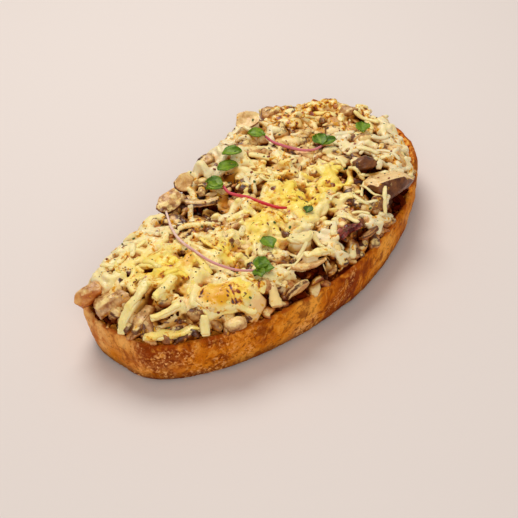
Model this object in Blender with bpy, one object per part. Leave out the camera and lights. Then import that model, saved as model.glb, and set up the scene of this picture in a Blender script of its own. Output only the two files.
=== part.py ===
"""Mushroom toast: a long toasted slice under a heap of chopped mushrooms and grated melted cheese.

The origin is the middle of the slice's flat base. +X runs along the slice to its far, wider end,
+Y to its back edge and +Z up. Sizes are in millimetres, and meshes are scaled to metres when made.
"""

import math
import random

import bmesh
import bpy
import numpy as np
from mathutils import Matrix, Vector, noise
from mathutils.bvhtree import BVHTree

MM = 0.001
GAP = 0.35  # clearance between neighbouring pieces
POCKET_GAP = 0.5  # clearance of the hollow in the heap that a larger piece lies in

# Slice of bread
HALF_LENGTH = 107.7
HALF_WIDTH = 50.8
TAPER = 0.054  # share by which the far end is wider and the near end narrower
NEAR_POWER, FAR_POWER = 1.89, 2.06  # superellipse powers of the two ends
CORNER_POWER = 2.3  # added in the squarer corner, near end and back edge
FAR_CORNER_POWER = 0.9  # added in the other back corner
SWELL, SWELL_X, SWELL_REACH = 5.5, 38.0, 45.0  # how far the back edge bulges, and where along X
BOW, BOW_MIDDLE = 6.0, 0.28  # how far both ends swing to the back edge, and the share taken off
RIM_Z = 24.0
CRUMB_Z = 23.0
RIM_WAVE, RIM_WAVE_SPAN = 0.5, 17.0
CRUST_RELIEF, CRUST_RELIEF_SPAN = 0.55, 9.0
OUTLINE_STEPS = 1440
BREAD_SIDES = 62
# Crust profile from the base up and over the rim: inset from the outline, height
CRUST_PROFILE = (
    (6.6, 0.0), (4.6, 0.7), (3.2, 2.6), (2.0, 6.5), (0.8, 12.0), (0.0, 18.0), (0.0, 22.2),
    (0.5, 23.6), (1.3, RIM_Z), (2.3, 23.8), (3.3, CRUMB_Z), (8.0, CRUMB_Z - 0.3),
)
WALL_LEVELS, RIM_LEVELS = range(1, 8), range(7, 10)  # which of its points have relief, and wave
TOP_LEVEL = 8  # its first point on the upper side
END_TUCK = 0.85  # share of the wall's inset that is left at the two ends

# Heap on the slice, front edge and back edge apart
FRONT_INSET, BACK_INSET = 3.6, 3.6
FRONT_SHOULDER, BACK_SHOULDER = 8.0, 6.0
FRONT_HEIGHT, BACK_HEIGHT = 10.5, 12.5
SIDE_BLEND = 15.0
BARE_END_START, BARE_END_RUN, BARE_END = 72.0, 28.0, 6.5
CROWN, CROWN_RUN = 3.5, 40.0
# The pile at the back: its height, middle and reach along X, and where it starts and is full in Y
PILE, PILE_X, PILE_REACH = 8.0, 29.0, 31.0
PILE_START, PILE_FULL = 12.0, 34.0
LUMP_HEIGHT, LUMP_SPAN = 2.4, 13.0
CORE_SIDES = 44
CORE_RINGS = (0.97, 0.91, 0.82, 0.68, 0.5, 0.3, 0.12)
SPINE_SHARE = 0.62
HEAP_SOLVER = "MANIFOLD"  # closes the heap's many crossing pieces, where EXACT leaves open edges

# Chopped pieces that show on the heap
SEED = 7
PIECE_COUNT = 165
PIECE_REACH = 0.955
EDGE_BIAS = 0.43  # power of the spread from the middle: under a half crowds the flanks
SHRED_MARGIN = 2.0  # a shred's ends keep this far inside the outline
SHRED_LENGTH = (12.0, 25.0)
SHRED_WIDTH, SHRED_THICKNESS = 3.6, 2.4
CHIP_LENGTH = (8.0, 15.0)
# Where grated cheese is thick: x, y, radius, share of shreds
CHEESE_ZONES = (
    (-5.0, -6.0, 30.0, 0.95), (-72.0, 14.0, 24.0, 0.8), (22.0, 6.0, 24.0, 0.75),
    (-60.0, -24.0, 22.0, 0.7), (72.0, 20.0, 22.0, 0.55), (16.0, -42.0, 14.0, 0.6),
)

# Melted sheet of cheese on the heap's front
SHEET_X, SHEET_Y, SHEET_YAW = -69.5, -20.5, -34.0
SHEET_LENGTH, SHEET_WIDTH, SHEET_THICKNESS = 28.0, 16.0, 2.2
SHEET_ROWS, SHEET_COLUMNS = 8, 5
SHEET_WAVE = 0.2  # how uneven its outline is

CRUST = ("crust", (0.50, 0.22, 0.06), 0.75)
TOPPING = ("topping", (0.70, 0.56, 0.32), 0.5)
PALE_MUSHROOM = ("pale_mushroom", (0.66, 0.50, 0.32), 0.5)
BROWN_MUSHROOM = ("brown_mushroom", (0.25, 0.12, 0.05), 0.4)
TAN_MUSHROOM = ("tan_mushroom", (0.50, 0.30, 0.14), 0.5)
CHEESE = ("cheese", (0.85, 0.68, 0.30), 0.4)
ONION = ("onion", (0.20, 0.03, 0.03), 0.35)
RED_STEM = ("red_stem", (0.60, 0.03, 0.08), 0.4)
PINK_STEM = ("pink_stem", (0.75, 0.35, 0.35), 0.4)
LEAF = ("leaf", (0.08, 0.22, 0.01), 0.45)


# ---------------------------------------------------------------- helpers


def mix(low, high, share):
    return low + (high - low) * share


def clamp(value):
    return min(max(value, 0.0), 1.0)


def material(spec):
    name, colour, roughness = spec
    found = bpy.data.materials.get(name)
    if found:
        return found
    made = bpy.data.materials.new(name)
    made.use_nodes = True
    shader = made.node_tree.nodes["Principled BSDF"]
    shader.inputs["Base Color"].default_value = (*colour, 1.0)
    shader.inputs["Roughness"].default_value = roughness
    shader.inputs["Metallic"].default_value = 0.0
    made.diffuse_color = (*colour, 1.0)
    return made


def mesh_object(name, points, faces, spec, collection=None):
    """A mesh object in metres from points in millimetres."""
    mesh = bpy.data.meshes.new(name)
    mesh.from_pydata([tuple(Vector(p) * MM) for p in points], [], faces)
    mesh.update()
    obj = bpy.data.objects.new(name, mesh)
    obj.data.materials.append(material(spec))
    (collection or bpy.context.scene.collection).objects.link(obj)
    return obj


def stitch(rings):
    """Faces of quads between rings of equal length, and the flat caps at both ends."""
    count = len(rings[0])
    faces = [tuple(range(count))[::-1]]
    for level in range(len(rings) - 1):
        low, high = level * count, (level + 1) * count
        for i in range(count):
            j = (i + 1) % count
            faces.append((low + i, low + j, high + j, high + i))
    top = (len(rings) - 1) * count
    faces.append(tuple(range(top, top + count)))
    return faces


def grid_body(top, bottom):
    """Points and triangles of a thin body from two like grids, one over the other."""
    rows, columns = len(top), len(top[0])
    points = [p for row in top for p in row] + [p for row in bottom for p in row]
    under = rows * columns
    faces = []
    for i in range(rows - 1):
        for j in range(columns - 1):
            a, b = i * columns + j, (i + 1) * columns + j
            c, d = b + 1, a + 1
            faces += [(a, b, c), (a, c, d)]
            faces += [(under + a, under + c, under + b), (under + a, under + d, under + c)]
    edge = list(range(columns - 1))
    edge += [i * columns + columns - 1 for i in range(rows - 1)]
    edge += [(rows - 1) * columns + j for j in range(columns - 1, 0, -1)]
    edge += [i * columns for i in range(rows - 1, 0, -1)]
    for a, b in zip(edge, edge[1:] + edge[:1]):
        faces += [(a, b, under + b), (a, under + b, under + a)]
    return points, faces


def placed(points, start, end, roll):
    """Points of a body that lies along its own X, moved to lie from start to end, turned by roll."""
    start, end = Vector(start), Vector(end)
    along = (end - start).normalized()
    side = Vector((0.0, 0.0, 1.0)).cross(along).normalized()
    up = along.cross(side)
    turn = Matrix((along, side, up)).transposed() @ Matrix.Rotation(math.radians(roll), 3, "X")
    middle = (start + end) / 2
    return [middle + turn @ Vector(p) for p in points]


def tree_of(obj):
    """Search tree of an object's triangles, in millimetres."""
    mesh = obj.data
    points = [obj.matrix_world @ v.co / MM for v in mesh.vertices]
    return BVHTree.FromPolygons(points, [tuple(p.vertices) for p in mesh.polygons])


def inflated(points, faces, amount):
    """The same body with each point pushed outward by amount."""
    body = bmesh.new()
    for p in points:
        body.verts.new(p)
    body.verts.ensure_lookup_table()
    for face in faces:
        body.faces.new([body.verts[i] for i in face])
    body.normal_update()
    pushed = [v.co + v.normal * amount * min(v.calc_shell_factor(), 2.0) for v in body.verts]
    body.free()
    return pushed


def largest_island(mesh):
    """Drops loose scraps and sealed hollows: what is left is the largest connected body."""
    body = bmesh.new()
    body.from_mesh(mesh)
    bmesh.ops.triangulate(body, faces=body.faces)
    left = set(body.verts)
    islands = []
    while left:
        stack = [left.pop()]
        island = set(stack)
        while stack:
            for edge in stack.pop().link_edges:
                for vert in edge.verts:
                    if vert in left:
                        left.remove(vert)
                        island.add(vert)
                        stack.append(vert)
        islands.append(island)
    islands.sort(key=len)
    scraps = [v for island in islands[:-1] for v in island]
    bmesh.ops.delete(body, geom=scraps, context="VERTS")
    body.to_mesh(mesh)
    body.free()
    mesh.update()


def combine(obj, others, operation, solver="EXACT"):
    """One Boolean on a collection of the other objects, applied, after which they are removed."""
    collection = bpy.data.collections.new("operands")
    bpy.context.scene.collection.children.link(collection)
    for other in others:
        for owner in other.users_collection:
            owner.objects.unlink(other)
        collection.objects.link(other)
    modifier = obj.modifiers.new("join", "BOOLEAN")
    modifier.operation = operation
    modifier.operand_type = "COLLECTION"
    modifier.collection = collection
    modifier.solver = solver
    bpy.context.view_layer.update()
    graph = bpy.context.evaluated_depsgraph_get()
    made = bpy.data.meshes.new_from_object(obj.evaluated_get(graph))
    obj.modifiers.clear()
    obj.data = made
    for other in others:
        bpy.data.objects.remove(other)
    bpy.data.collections.remove(collection)
    largest_island(made)


# ---------------------------------------------------------------- slice of bread


def outline_loop():
    """The slice's outline from above, one point for each step of its angle."""
    t = np.linspace(0.0, 2.0 * math.pi, OUTLINE_STEPS, endpoint=False)
    c, s = np.cos(t), np.sin(t)
    power = mix(NEAR_POWER, FAR_POWER, np.clip(c, 0, 1))
    power += CORNER_POWER * 2.0 * np.clip(-c, 0, 1) * np.clip(s, 0, 1)
    power += FAR_CORNER_POWER * 2.0 * np.clip(c, 0, 1) * np.clip(s, 0, 1)
    u = HALF_LENGTH * np.sign(c) * np.abs(c) ** (2.0 / power)
    v = HALF_WIDTH * (1.0 + TAPER * u / HALF_LENGTH) * np.sign(s) * np.abs(s) ** (2.0 / power)
    v += BOW * ((u / HALF_LENGTH) ** 2 - BOW_MIDDLE)
    v += SWELL * np.clip(s, 0, 1) ** 2 * np.exp(-(((u - SWELL_X) / SWELL_REACH) ** 2))
    return np.stack([u, v], 1)


def outline(count):
    """The outline as evenly spaced points."""
    loop = outline_loop()
    steps = np.linalg.norm(np.roll(loop, -1, 0) - loop, axis=1)
    reach = np.concatenate([[0.0], np.cumsum(steps)])
    closed = np.concatenate([loop, loop[:1]])
    wanted = np.linspace(0.0, reach[-1], count, endpoint=False)
    return np.stack([np.interp(wanted, reach, closed[:, k]) for k in (0, 1)], 1)


def outward(loop):
    along = np.roll(loop, -1, 0) - np.roll(loop, 1, 0)
    normal = np.stack([along[:, 1], -along[:, 0]], 1)
    return normal / np.linalg.norm(normal, axis=1, keepdims=True)


EDGE = outline(240)
EDGE_STEP = np.roll(EDGE, -1, 0) - EDGE
EDGE_SQUARE = (EDGE_STEP**2).sum(1)


def edge_distance(x, y):
    """Distance from a place to the slice's outline, negative outside it."""
    off = np.array([x, y]) - EDGE
    t = np.clip((off * EDGE_STEP).sum(1) / EDGE_SQUARE, 0, 1)
    distance = np.linalg.norm(off - t[:, None] * EDGE_STEP, axis=1)
    nearest = int(distance.argmin())
    cross = EDGE_STEP[nearest, 0] * off[nearest, 1] - EDGE_STEP[nearest, 1] * off[nearest, 0]
    return float(distance[nearest]) * (1.0 if cross > 0 else -1.0)


def bread_rings(grow):
    """Rings of the slice from the base up and over the rim, each pushed out by grow."""
    loop = outline(BREAD_SIDES)
    normal = outward(loop)
    rings = []
    for level, (inset, height) in enumerate(CRUST_PROFILE):
        ring = []
        for p, n in zip(loop, normal):
            tuck = inset
            if height < RIM_Z / 2:
                tuck *= mix(END_TUCK, 1.0, abs(n[1]))
            out = grow - tuck
            if level in WALL_LEVELS:
                place = Vector((p[0], p[1], height * 2.0)) / CRUST_RELIEF_SPAN
                out += CRUST_RELIEF * noise.noise(place)
            rise = grow if level >= TOP_LEVEL else 0.0
            if level in RIM_LEVELS:
                rise += RIM_WAVE * noise.noise(Vector((p[0], p[1], 7.0)) / RIM_WAVE_SPAN)
            ring.append((p[0] + n[0] * out, p[1] + n[1] * out, height + rise))
        rings.append(ring)
    return rings


def make_bread():
    rings = bread_rings(0.0)
    return mesh_object("bread", [p for ring in rings for p in ring], stitch(rings), CRUST)


def bread_guard():
    """Search tree of the slice grown by the gap, which no topping may cross."""
    rings = bread_rings(GAP)
    return BVHTree.FromPolygons([Vector(p) for ring in rings for p in ring], stitch(rings))


# ---------------------------------------------------------------- heap


def heap_inset(x, y):
    back = 0.5 + 0.5 * math.tanh(y / SIDE_BLEND)
    return mix(FRONT_INSET, BACK_INSET, back) + BARE_END * clamp((x - BARE_END_START) / BARE_END_RUN)


def heap_top(x, y):
    """Height of the bare heap's surface at a place on the slice."""
    back = 0.5 + 0.5 * math.tanh(y / SIDE_BLEND)
    depth = edge_distance(x, y) - heap_inset(x, y)
    rise = clamp(depth / mix(FRONT_SHOULDER, BACK_SHOULDER, back))
    lump = LUMP_HEIGHT * noise.noise(Vector((x, y, 3.0)) / LUMP_SPAN)
    height = mix(FRONT_HEIGHT, BACK_HEIGHT, back) + lump
    share = clamp((y - PILE_START) / (PILE_FULL - PILE_START))
    height += PILE * share * math.exp(-(((x - PILE_X) / PILE_REACH) ** 2))
    crown = CROWN * clamp(depth / CROWN_RUN)
    return CRUMB_Z + GAP + height * math.sqrt(1.0 - (1.0 - rise) ** 2) + crown


def heap_normal(x, y, reach=2.0):
    slope_x = (heap_top(x + reach, y) - heap_top(x - reach, y)) / (2 * reach)
    slope_y = (heap_top(x, y + reach) - heap_top(x, y - reach)) / (2 * reach)
    return Vector((-slope_x, -slope_y, 1.0)).normalized()


def make_core():
    """The heap without its pieces: a lumpy mound with a flat underside."""
    loop = outline(CORE_SIDES)
    normal = outward(loop)
    edge = [p - n * heap_inset(*p) for p, n in zip(loop, normal)]
    rings = [[(p[0], p[1], CRUMB_Z + GAP) for p in edge]]
    for share in CORE_RINGS:
        ring = []
        for p in edge:
            spine = np.array([p[0] * SPINE_SHARE, p[1] * 0.05])
            place = spine + (p - spine) * share
            ring.append((place[0], place[1], heap_top(place[0], place[1])))
        rings.append(ring)
    return mesh_object("topping", [p for ring in rings for p in ring], stitch(rings), TOPPING)


def cheese_share(x, y):
    """How likely a piece at this place is to be a shred of cheese."""
    most = 0.2
    for zone_x, zone_y, radius, share in CHEESE_ZONES:
        away = math.hypot(x - zone_x, y - zone_y) / radius
        most = max(most, share * math.exp(-0.7 * away * away))
    return most


def chip_body(size, seed):
    """A chopped bit of mushroom: an uneven twenty-sided lump."""
    body = bmesh.new()
    bmesh.ops.create_icosphere(body, subdivisions=1, radius=1.0)
    shift = Vector((seed * 1.7, seed * 0.9, seed * 2.3))
    points = []
    for v in body.verts:
        swell = 1.0 + 0.35 * noise.noise(v.co * 1.2 + shift)
        points.append(Vector([v.co[k] * swell * size[k] / 2 for k in range(3)]))
    faces = [tuple(v.index for v in f.verts) for f in body.faces]
    body.free()
    return points, faces


def strip(path, width, thickness, seed, taper=0.75):
    """A shred that follows a path of points: four sides, a little twisted, narrower at its ends."""
    path = [Vector(p) for p in path]
    top, bottom = [], []
    last = len(path) - 1
    for i, p in enumerate(path):
        along = (path[min(i + 1, last)] - path[max(i - 1, 0)]).normalized()
        side = Vector((0.0, 0.0, 1.0)).cross(along).normalized()
        up = along.cross(side)
        twist = Matrix.Rotation(0.5 * noise.noise(Vector((i * 0.6, seed * 3.1, 0.0))), 3, along)
        side, up = twist @ side, twist @ up
        share = mix(taper, 1.0, math.sin(math.pi * (i + 0.5) / (last + 1)))
        half = side * width * share / 2
        lift = up * thickness * share / 2
        top.append([p - half + lift, p + half + lift])
        bottom.append([p - half - lift, p + half - lift])
    return grid_body(top, bottom)


def shred_path(x, y, length, yaw, lift, segments=2):
    """Points of a shred that lies over the heap's surface."""
    path = []
    for i in range(segments + 1):
        share = i / segments - 0.5
        turn = yaw + share * 0.7
        px = x + math.cos(turn) * share * length
        py = y + math.sin(turn) * share * length
        path.append((px, py, heap_top(px, py) + lift))
    return path


def piece_bodies():
    """Chips and shreds over the whole heap, the largest first, in a sunflower's even spread."""
    draw = random.Random(SEED)
    golden = math.pi * (3.0 - math.sqrt(5.0))
    spots = [(((i + 0.5) / PIECE_COUNT) ** EDGE_BIAS, i * golden) for i in range(PIECE_COUNT)]
    draw.shuffle(spots)
    full = outline_loop()
    for number, (radius, turn) in enumerate(spots):
        p = full[int(turn / (2 * math.pi) * OUTLINE_STEPS) % OUTLINE_STEPS] * radius * PIECE_REACH
        x = float(p[0]) + draw.uniform(-2.0, 2.0) - 2.0 * radius * (p[0] > 60)
        y = float(p[1]) + draw.uniform(-2.0, 2.0)
        size = 1.0 - number / PIECE_COUNT
        yaw = draw.uniform(-math.pi, math.pi)
        lift = draw.uniform(0.2, 1.6)
        kind = draw.random()
        if kind < cheese_share(x, y):
            length = mix(*SHRED_LENGTH, size)
            path = shred_path(x, y, length, yaw, lift)
            if min(edge_distance(px, py) for px, py, _ in path) > SHRED_MARGIN:
                yield strip(path, SHRED_WIDTH, SHRED_THICKNESS, number)
            continue
        length = mix(*CHIP_LENGTH, size)
        size3 = (length, length * draw.uniform(0.55, 0.8), length * draw.uniform(0.4, 0.6))
        points, faces = chip_body(size3, number)
        lean = heap_normal(x, y).to_track_quat("Z", "Y").to_matrix()
        lean = lean @ Matrix.Rotation(yaw, 3, "Z")
        lean = lean @ Matrix.Rotation(draw.uniform(-0.5, 0.5), 3, "X")
        middle = Vector((x, y, heap_top(x, y) + lift * 0.6))
        yield [middle + lean @ v for v in points], faces


# ---------------------------------------------------------------- larger pieces


def lump_body(length, width, height, seed, rough, square=0.62):
    """A rounded uneven chunk, along X."""
    body = bmesh.new()
    bmesh.ops.create_icosphere(body, subdivisions=2, radius=1.0)
    shift = Vector((seed * 2.9, seed * 1.1, seed * 0.7))
    points = []
    for v in body.verts:
        swell = 1.0 + rough * noise.noise(v.co * 1.3 + shift)
        boxed = [math.copysign(abs(c) ** square, c) * swell for c in v.co]
        points.append(Vector((boxed[0] * length, boxed[1] * width, boxed[2] * height)) / 2)
    faces = [tuple(v.index for v in f.verts) for f in body.faces]
    body.free()
    return points, faces


def slab_body(length, width, thickness, bend, cup, flare, seed, rows=5, columns=3):
    """A slice with a rounded uneven outline, bent along its length and cupped across."""
    top, bottom = [], []
    for i in range(rows + 1):
        s = 2.0 * i / rows - 1.0
        half = width / 2 * max(1.0 - abs(s) ** 3, 0.0) ** 0.4
        half = max(half, width * 0.22) * (1.0 + flare * s)
        upper, lower = [], []
        for j in range(columns + 1):
            t = 2.0 * j / columns - 1.0
            wobble = 1.0 + 0.18 * noise.noise(Vector((s * 1.5, t * 1.5, seed * 2.0)))
            x, y = s * length / 2, t * half * wobble
            across = 2.0 * y / width
            middle = bend * (s * s - 0.4) + cup * (across * across - 0.4)
            middle += 0.12 * width * noise.noise(Vector((s * 1.2, across * 1.2, seed * 5.0 + 9.0)))
            thick = thickness / 2 * (1.0 - 0.35 * max(abs(s), abs(t)) ** 3)
            upper.append(Vector((x, y, middle + thick)))
            lower.append(Vector((x, y, middle - thick)))
        top.append(upper)
        bottom.append(lower)
    return grid_body(top, bottom)


def stem_body(length, radii, seed, sides=8):
    """A short stalk along X with the given radii from start to end."""
    rings = []
    for i, radius in enumerate(radii):
        x = length * (i / (len(radii) - 1) - 0.5)
        ring = []
        for k in range(sides):
            a = 2 * math.pi * k / sides
            r = radius * (1.0 + 0.15 * noise.noise(Vector((math.cos(a), math.sin(a), i + seed))))
            ring.append(Vector((x, r * math.cos(a), r * math.sin(a) * 0.8)))
        rings.append(ring)
    return [p for ring in rings for p in ring], stitch(rings)


def lump(start, end, width, height, seed, roll=0.0, rough=0.5):
    length = (Vector(end) - Vector(start)).length
    points, faces = lump_body(length, width, height, seed, rough)
    return placed(points, start, end, roll), faces


def slab(start, end, width, thickness, seed, roll=0.0, bend=0.0, cup=0.0, flare=0.0):
    length = (Vector(end) - Vector(start)).length
    points, faces = slab_body(length, width, thickness, bend, cup, flare, seed)
    return placed(points, start, end, roll), faces


def stem(start, end, radii, seed):
    length = (Vector(end) - Vector(start)).length
    points, faces = stem_body(length, radii, seed)
    return placed(points, start, end, 0.0), faces


def melted_sheet():
    """A sheet of melted cheese over the heap's front."""
    turn = math.radians(SHEET_YAW)
    top, bottom = [], []
    for i in range(SHEET_ROWS + 1):
        s = 2.0 * i / SHEET_ROWS - 1.0
        upper, lower = [], []
        for j in range(SHEET_COLUMNS + 1):
            t = 2.0 * j / SHEET_COLUMNS - 1.0
            reach = 1.0 - 0.2 * s * s * t * t
            reach += SHEET_WAVE * noise.noise(Vector((s * 2.0, t * 2.0, 4.0)))
            along, across = s * SHEET_LENGTH / 2 * reach, t * SHEET_WIDTH / 2 * reach
            x = SHEET_X + along * math.cos(turn) - across * math.sin(turn)
            y = SHEET_Y + along * math.sin(turn) + across * math.cos(turn)
            z = heap_top(x, y) + GAP
            thick = SHEET_THICKNESS * (1.0 - 0.35 * max(abs(s), abs(t)) ** 2)
            lower.append(Vector((x, y, z)))
            upper.append(Vector((x, y, z + thick)))
        top.append(upper)
        bottom.append(lower)
    return grid_body(top, bottom)


def larger_pieces():
    """Name, material and body of every piece on the heap that is as large as a berry."""
    return (
        ("mushroom_end_chunk", TAN_MUSHROOM,
         lump((-104.5, 37.2, 30.4), (-92.5, 30.0, 34.2), 7.8, 9.5, 1, roll=12.0)),
        ("mushroom_end_mass", PALE_MUSHROOM,
         lump((-106.3, 27.0, 29.2), (-91.5, 16.8, 35.5), 10.0, 8.0, 2)),
        ("mushroom_end_dark", BROWN_MUSHROOM,
         lump((-105.0, 4.0, 28.0), (-91.0, 3.5, 34.0), 6.5, 6.0, 3)),
        ("mushroom_round", PALE_MUSHROOM,
         lump((-80.5, -26.5, 27.6), (-72.5, -34.0, 28.0), 6.5, 5.0, 4, rough=0.12)),
        ("mushroom_stem", PALE_MUSHROOM,
         stem((-52.0, -33.0, 35.5), (-58.0, -39.6, 28.4), (2.0, 2.2, 2.7, 3.5), 5)),
        ("mushroom_fold", PALE_MUSHROOM,
         slab((-50.5, -39.5, 29.0), (-40.0, -44.5, 33.0), 11.0, 3.5, 6, roll=-38.0, cup=2.5)),
        ("mushroom_strip", TAN_MUSHROOM,
         slab((-40.5, -36.5, 36.5), (-24.0, -45.5, 34.5), 6.5, 3.0, 7, roll=-25.0, bend=1.0)),
        ("onion_piece", ONION,
         slab((-7.5, -41.0, 36.0), (6.0, -44.5, 36.5), 8.0, 2.8, 8, roll=-30.0, cup=1.5)),
        ("brown_slice", BROWN_MUSHROOM,
         slab((0.0, -46.4, 30.6), (14.0, -48.8, 30.2), 8.0, 2.6, 9, roll=-35.0, bend=1.0)),
        ("mushroom_cap_piece", BROWN_MUSHROOM,
         lump((31.5, -34.0, 35.0), (53.0, -43.4, 33.4), 14.5, 11.0, 10, roll=-8.0, rough=0.35)),
        ("mushroom_dark", BROWN_MUSHROOM,
         lump((38.0, -20.0, 40.0), (51.0, -26.5, 40.5), 8.5, 6.0, 11)),
        ("mushroom_slice_back", TAN_MUSHROOM,
         slab((-36.0, 43.5, 36.5), (-20.5, 40.5, 39.5), 11.0, 3.2, 12, roll=20.0, bend=1.2)),
        ("mushroom_slice_tan", TAN_MUSHROOM,
         slab((-19.0, 44.0, 38.3), (-6.5, 46.2, 40.0), 9.0, 3.0, 13, roll=42.0, cup=1.0)),
        ("mushroom_slice_edge", TAN_MUSHROOM,
         slab((-30.0, 31.0, 41.0), (-19.5, 17.5, 42.0), 8.0, 3.0, 14, roll=-24.0, bend=0.8)),
        ("mushroom_curl", TAN_MUSHROOM,
         slab((33.0, 46.2, 47.4), (44.8, 37.6, 47.6), 10.0, 2.8, 25, roll=22.0, cup=1.6)),
        ("mushroom_grey_back", PALE_MUSHROOM,
         lump((-1.5, 45.0, 41.5), (7.0, 41.0, 43.5), 7.0, 6.0, 15)),
        ("mushroom_bump_back", PALE_MUSHROOM,
         lump((52.5, 42.6, 41.8), (62.5, 40.6, 41.4), 8.0, 6.5, 16)),
        ("mushroom_bump_far", PALE_MUSHROOM,
         lump((80.0, 14.0, 38.5), (88.0, 8.0, 38.5), 7.5, 6.0, 17)),
        ("cheese_drape", CHEESE,
         strip(((-85.0, 10.5, 40.6), (-93.0, 9.6, 39.4), (-99.5, 9.8, 35.4), (-104.6, 10.6, 30.2),
                (-107.0, 9.6, 26.8)), 4.0, 1.8, 18)),
        ("cheese_strip_rim", CHEESE,
         strip(((-103.6, -0.5, 27.0), (-99.0, -7.0, 27.0), (-93.5, -13.0, 27.0),
                (-87.0, -18.2, 27.2)), 4.0, 2.0, 19)),
        ("cheese_drip", CHEESE,
         strip(((-85.2, -19.9, 33.4), (-87.2, -21.6, 30.4), (-88.6, -22.9, 26.8)), 4.0, 2.0, 24)),
        ("cheese_strip_mid", CHEESE,
         strip(((-98.0, -0.5, 33.5), (-93.0, -5.0, 35.0), (-87.5, -8.5, 36.8)), 3.4, 2.0, 20)),
        ("cheese_strip_upper", CHEESE,
         strip(((-91.0, 2.5, 38.4), (-84.0, 1.5, 40.0), (-76.5, 2.5, 41.0)), 3.6, 2.0, 21)),
        ("cheese_strip_front", CHEESE,
         strip(((-31.0, -38.0, 38.6), (-25.0, -41.0, 38.4), (-19.0, -45.0, 36.5)), 3.6, 2.0, 22)),
        ("cheese_fold", CHEESE,
         slab((-28.0, -27.0, 41.4), (-18.0, -33.0, 41.0), 8.0, 2.4, 23, roll=-18.0, bend=1.2)),
        ("cheese_sheet", CHEESE, melted_sheet()),
    )


# ---------------------------------------------------------------- microgreens

# Routes of the stems from above, start to end, with the stem's material and radius, and its
# leaflets: the end they grow from, heading in degrees and length
SPRIGS = (
    ("sprig_red", RED_STEM, 0.85,
     ((-6.7, 25.7), (-9.5, 19.1), (-10.1, 11.1), (-9.7, 2.5), (-8.0, -12.4)),
     (("start", 150.0, 9.0), ("start", 108.0, 9.0))),
    ("sprig_pale", PINK_STEM, 0.7,
     ((-38.0, 36.5), (-48.0, 25.0), (-54.5, 14.0), (-58.5, -1.5), (-56.5, -14.5), (-51.0, -25.0)),
     (("end", 5.0, 8.5), ("end", -60.0, 8.0), ("end", -130.0, 7.0))),
    ("sprig_pink", PINK_STEM, 0.75,
     ((33.9, 28.2), (34.1, 20.6), (36.5, 14.4), (40.8, 7.7), (47.4, 3.0)),
     (("start", 115.0, 9.0), ("end", 50.0, 9.0), ("end", -25.0, 8.5))),
)
STEM_END_RISE = 1.6
LEAF_ROOT = 0.6  # how far inside the stem's end a leaflet starts
LONE_LEAVES = (
    ("leaf_back_bright", -0.5, 33.0, -32.0, 11.0),
    ("leaf_back_far", 8.2, 36.2, -40.0, 10.0),
    ("leaf_far", 71.0, -7.0, 35.0, 9.0),
    ("leaf_front_bright", -33.5, -22.0, 70.0, 9.0),
    ("leaf_dark", -2.0, -19.5, 10.0, 5.5),
)
LEAF_THICKNESS = 0.7


def leaf_body(length, seed, rows=4, columns=2):
    """A leaflet along X, wavy, with both faces split into triangles alike."""
    top, bottom = [], []
    for i in range(rows + 1):
        s = i / rows
        half = length * 0.42 * math.sin(math.pi * min(s * 0.92 + 0.1, 1.0)) ** 0.6
        half = max(half, length * 0.07)
        upper, lower = [], []
        for j in range(columns + 1):
            t = 2.0 * j / columns - 1.0
            wave = 0.06 * length * math.sin(3.0 * s + 2.0 * t + seed) + 0.10 * length * t * t
            place = Vector((s * length, t * half, wave))
            upper.append(place + Vector((0, 0, LEAF_THICKNESS / 2)))
            lower.append(place - Vector((0, 0, LEAF_THICKNESS / 2)))
        top.append(upper)
        bottom.append(lower)
    return grid_body(top, bottom)


def smooth_route(points, count):
    """Evenly counted points on a smooth curve through the route's own points."""
    loop = np.array(points)
    knots = np.concatenate([[0.0], np.cumsum(np.linalg.norm(np.diff(loop, axis=0), axis=1))])
    ends = np.concatenate([[2 * loop[0] - loop[1]], loop, [2 * loop[-1] - loop[-2]]])
    out = []
    for value in np.linspace(0.0, knots[-1], count):
        k = min(int(np.searchsorted(knots, value, side="right")) - 1, len(loop) - 2)
        t = (value - knots[k]) / (knots[k + 1] - knots[k])
        a, b, c, d = ends[k : k + 4]
        out.append(0.5 * (2 * b + (c - a) * t + (2 * a - 5 * b + 4 * c - d) * t**2
                          + (3 * b - a - 3 * c + d) * t**3))
    return out


def top_below(trees, x, y):
    """Height of the highest surface at a place."""
    best = CRUMB_Z
    for tree in trees:
        hit = tree.ray_cast(Vector((x, y, 100.0)), Vector((0, 0, -1)))[0]
        if hit:
            best = max(best, hit.z)
    return best


def stem_points(route, radius, trees, count=10):
    """The stem's points: resting on the tops of what it crosses, and spanning what lies lower."""
    places = smooth_route(route, count)
    floor = []
    for p in places:
        around = [(0, 0)] + [(math.cos(a) * 2.0, math.sin(a) * 2.0) for a in np.arange(0, 6.28, 0.785)]
        floor.append(max(top_below(trees, p[0] + dx, p[1] + dy) for dx, dy in around))
    floor = np.array(floor) + radius + GAP
    height = floor.copy()
    for _ in range(40):
        middle = (height[:-2] + height[2:]) / 2
        height[1:-1] = np.maximum(height[1:-1], middle)
    height[[0, -1]] += STEM_END_RISE
    return [Vector((p[0], p[1], z)) for p, z in zip(places, height)]


def tube(points, radius, sides=5):
    rings = []
    last = len(points) - 1
    for i, p in enumerate(points):
        along = (points[min(i + 1, last)] - points[max(i - 1, 0)]).normalized()
        side = Vector((0, 0, 1)).cross(along).normalized()
        up = along.cross(side)
        size = radius * mix(0.75, 1.0, math.sin(math.pi * (i + 1) / (last + 2)))
        rings.append([p + (side * math.cos(2 * math.pi * k / sides)
                           + up * math.sin(2 * math.pi * k / sides)) * size for k in range(sides)])
    return [p for ring in rings for p in ring], stitch(rings)


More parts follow.
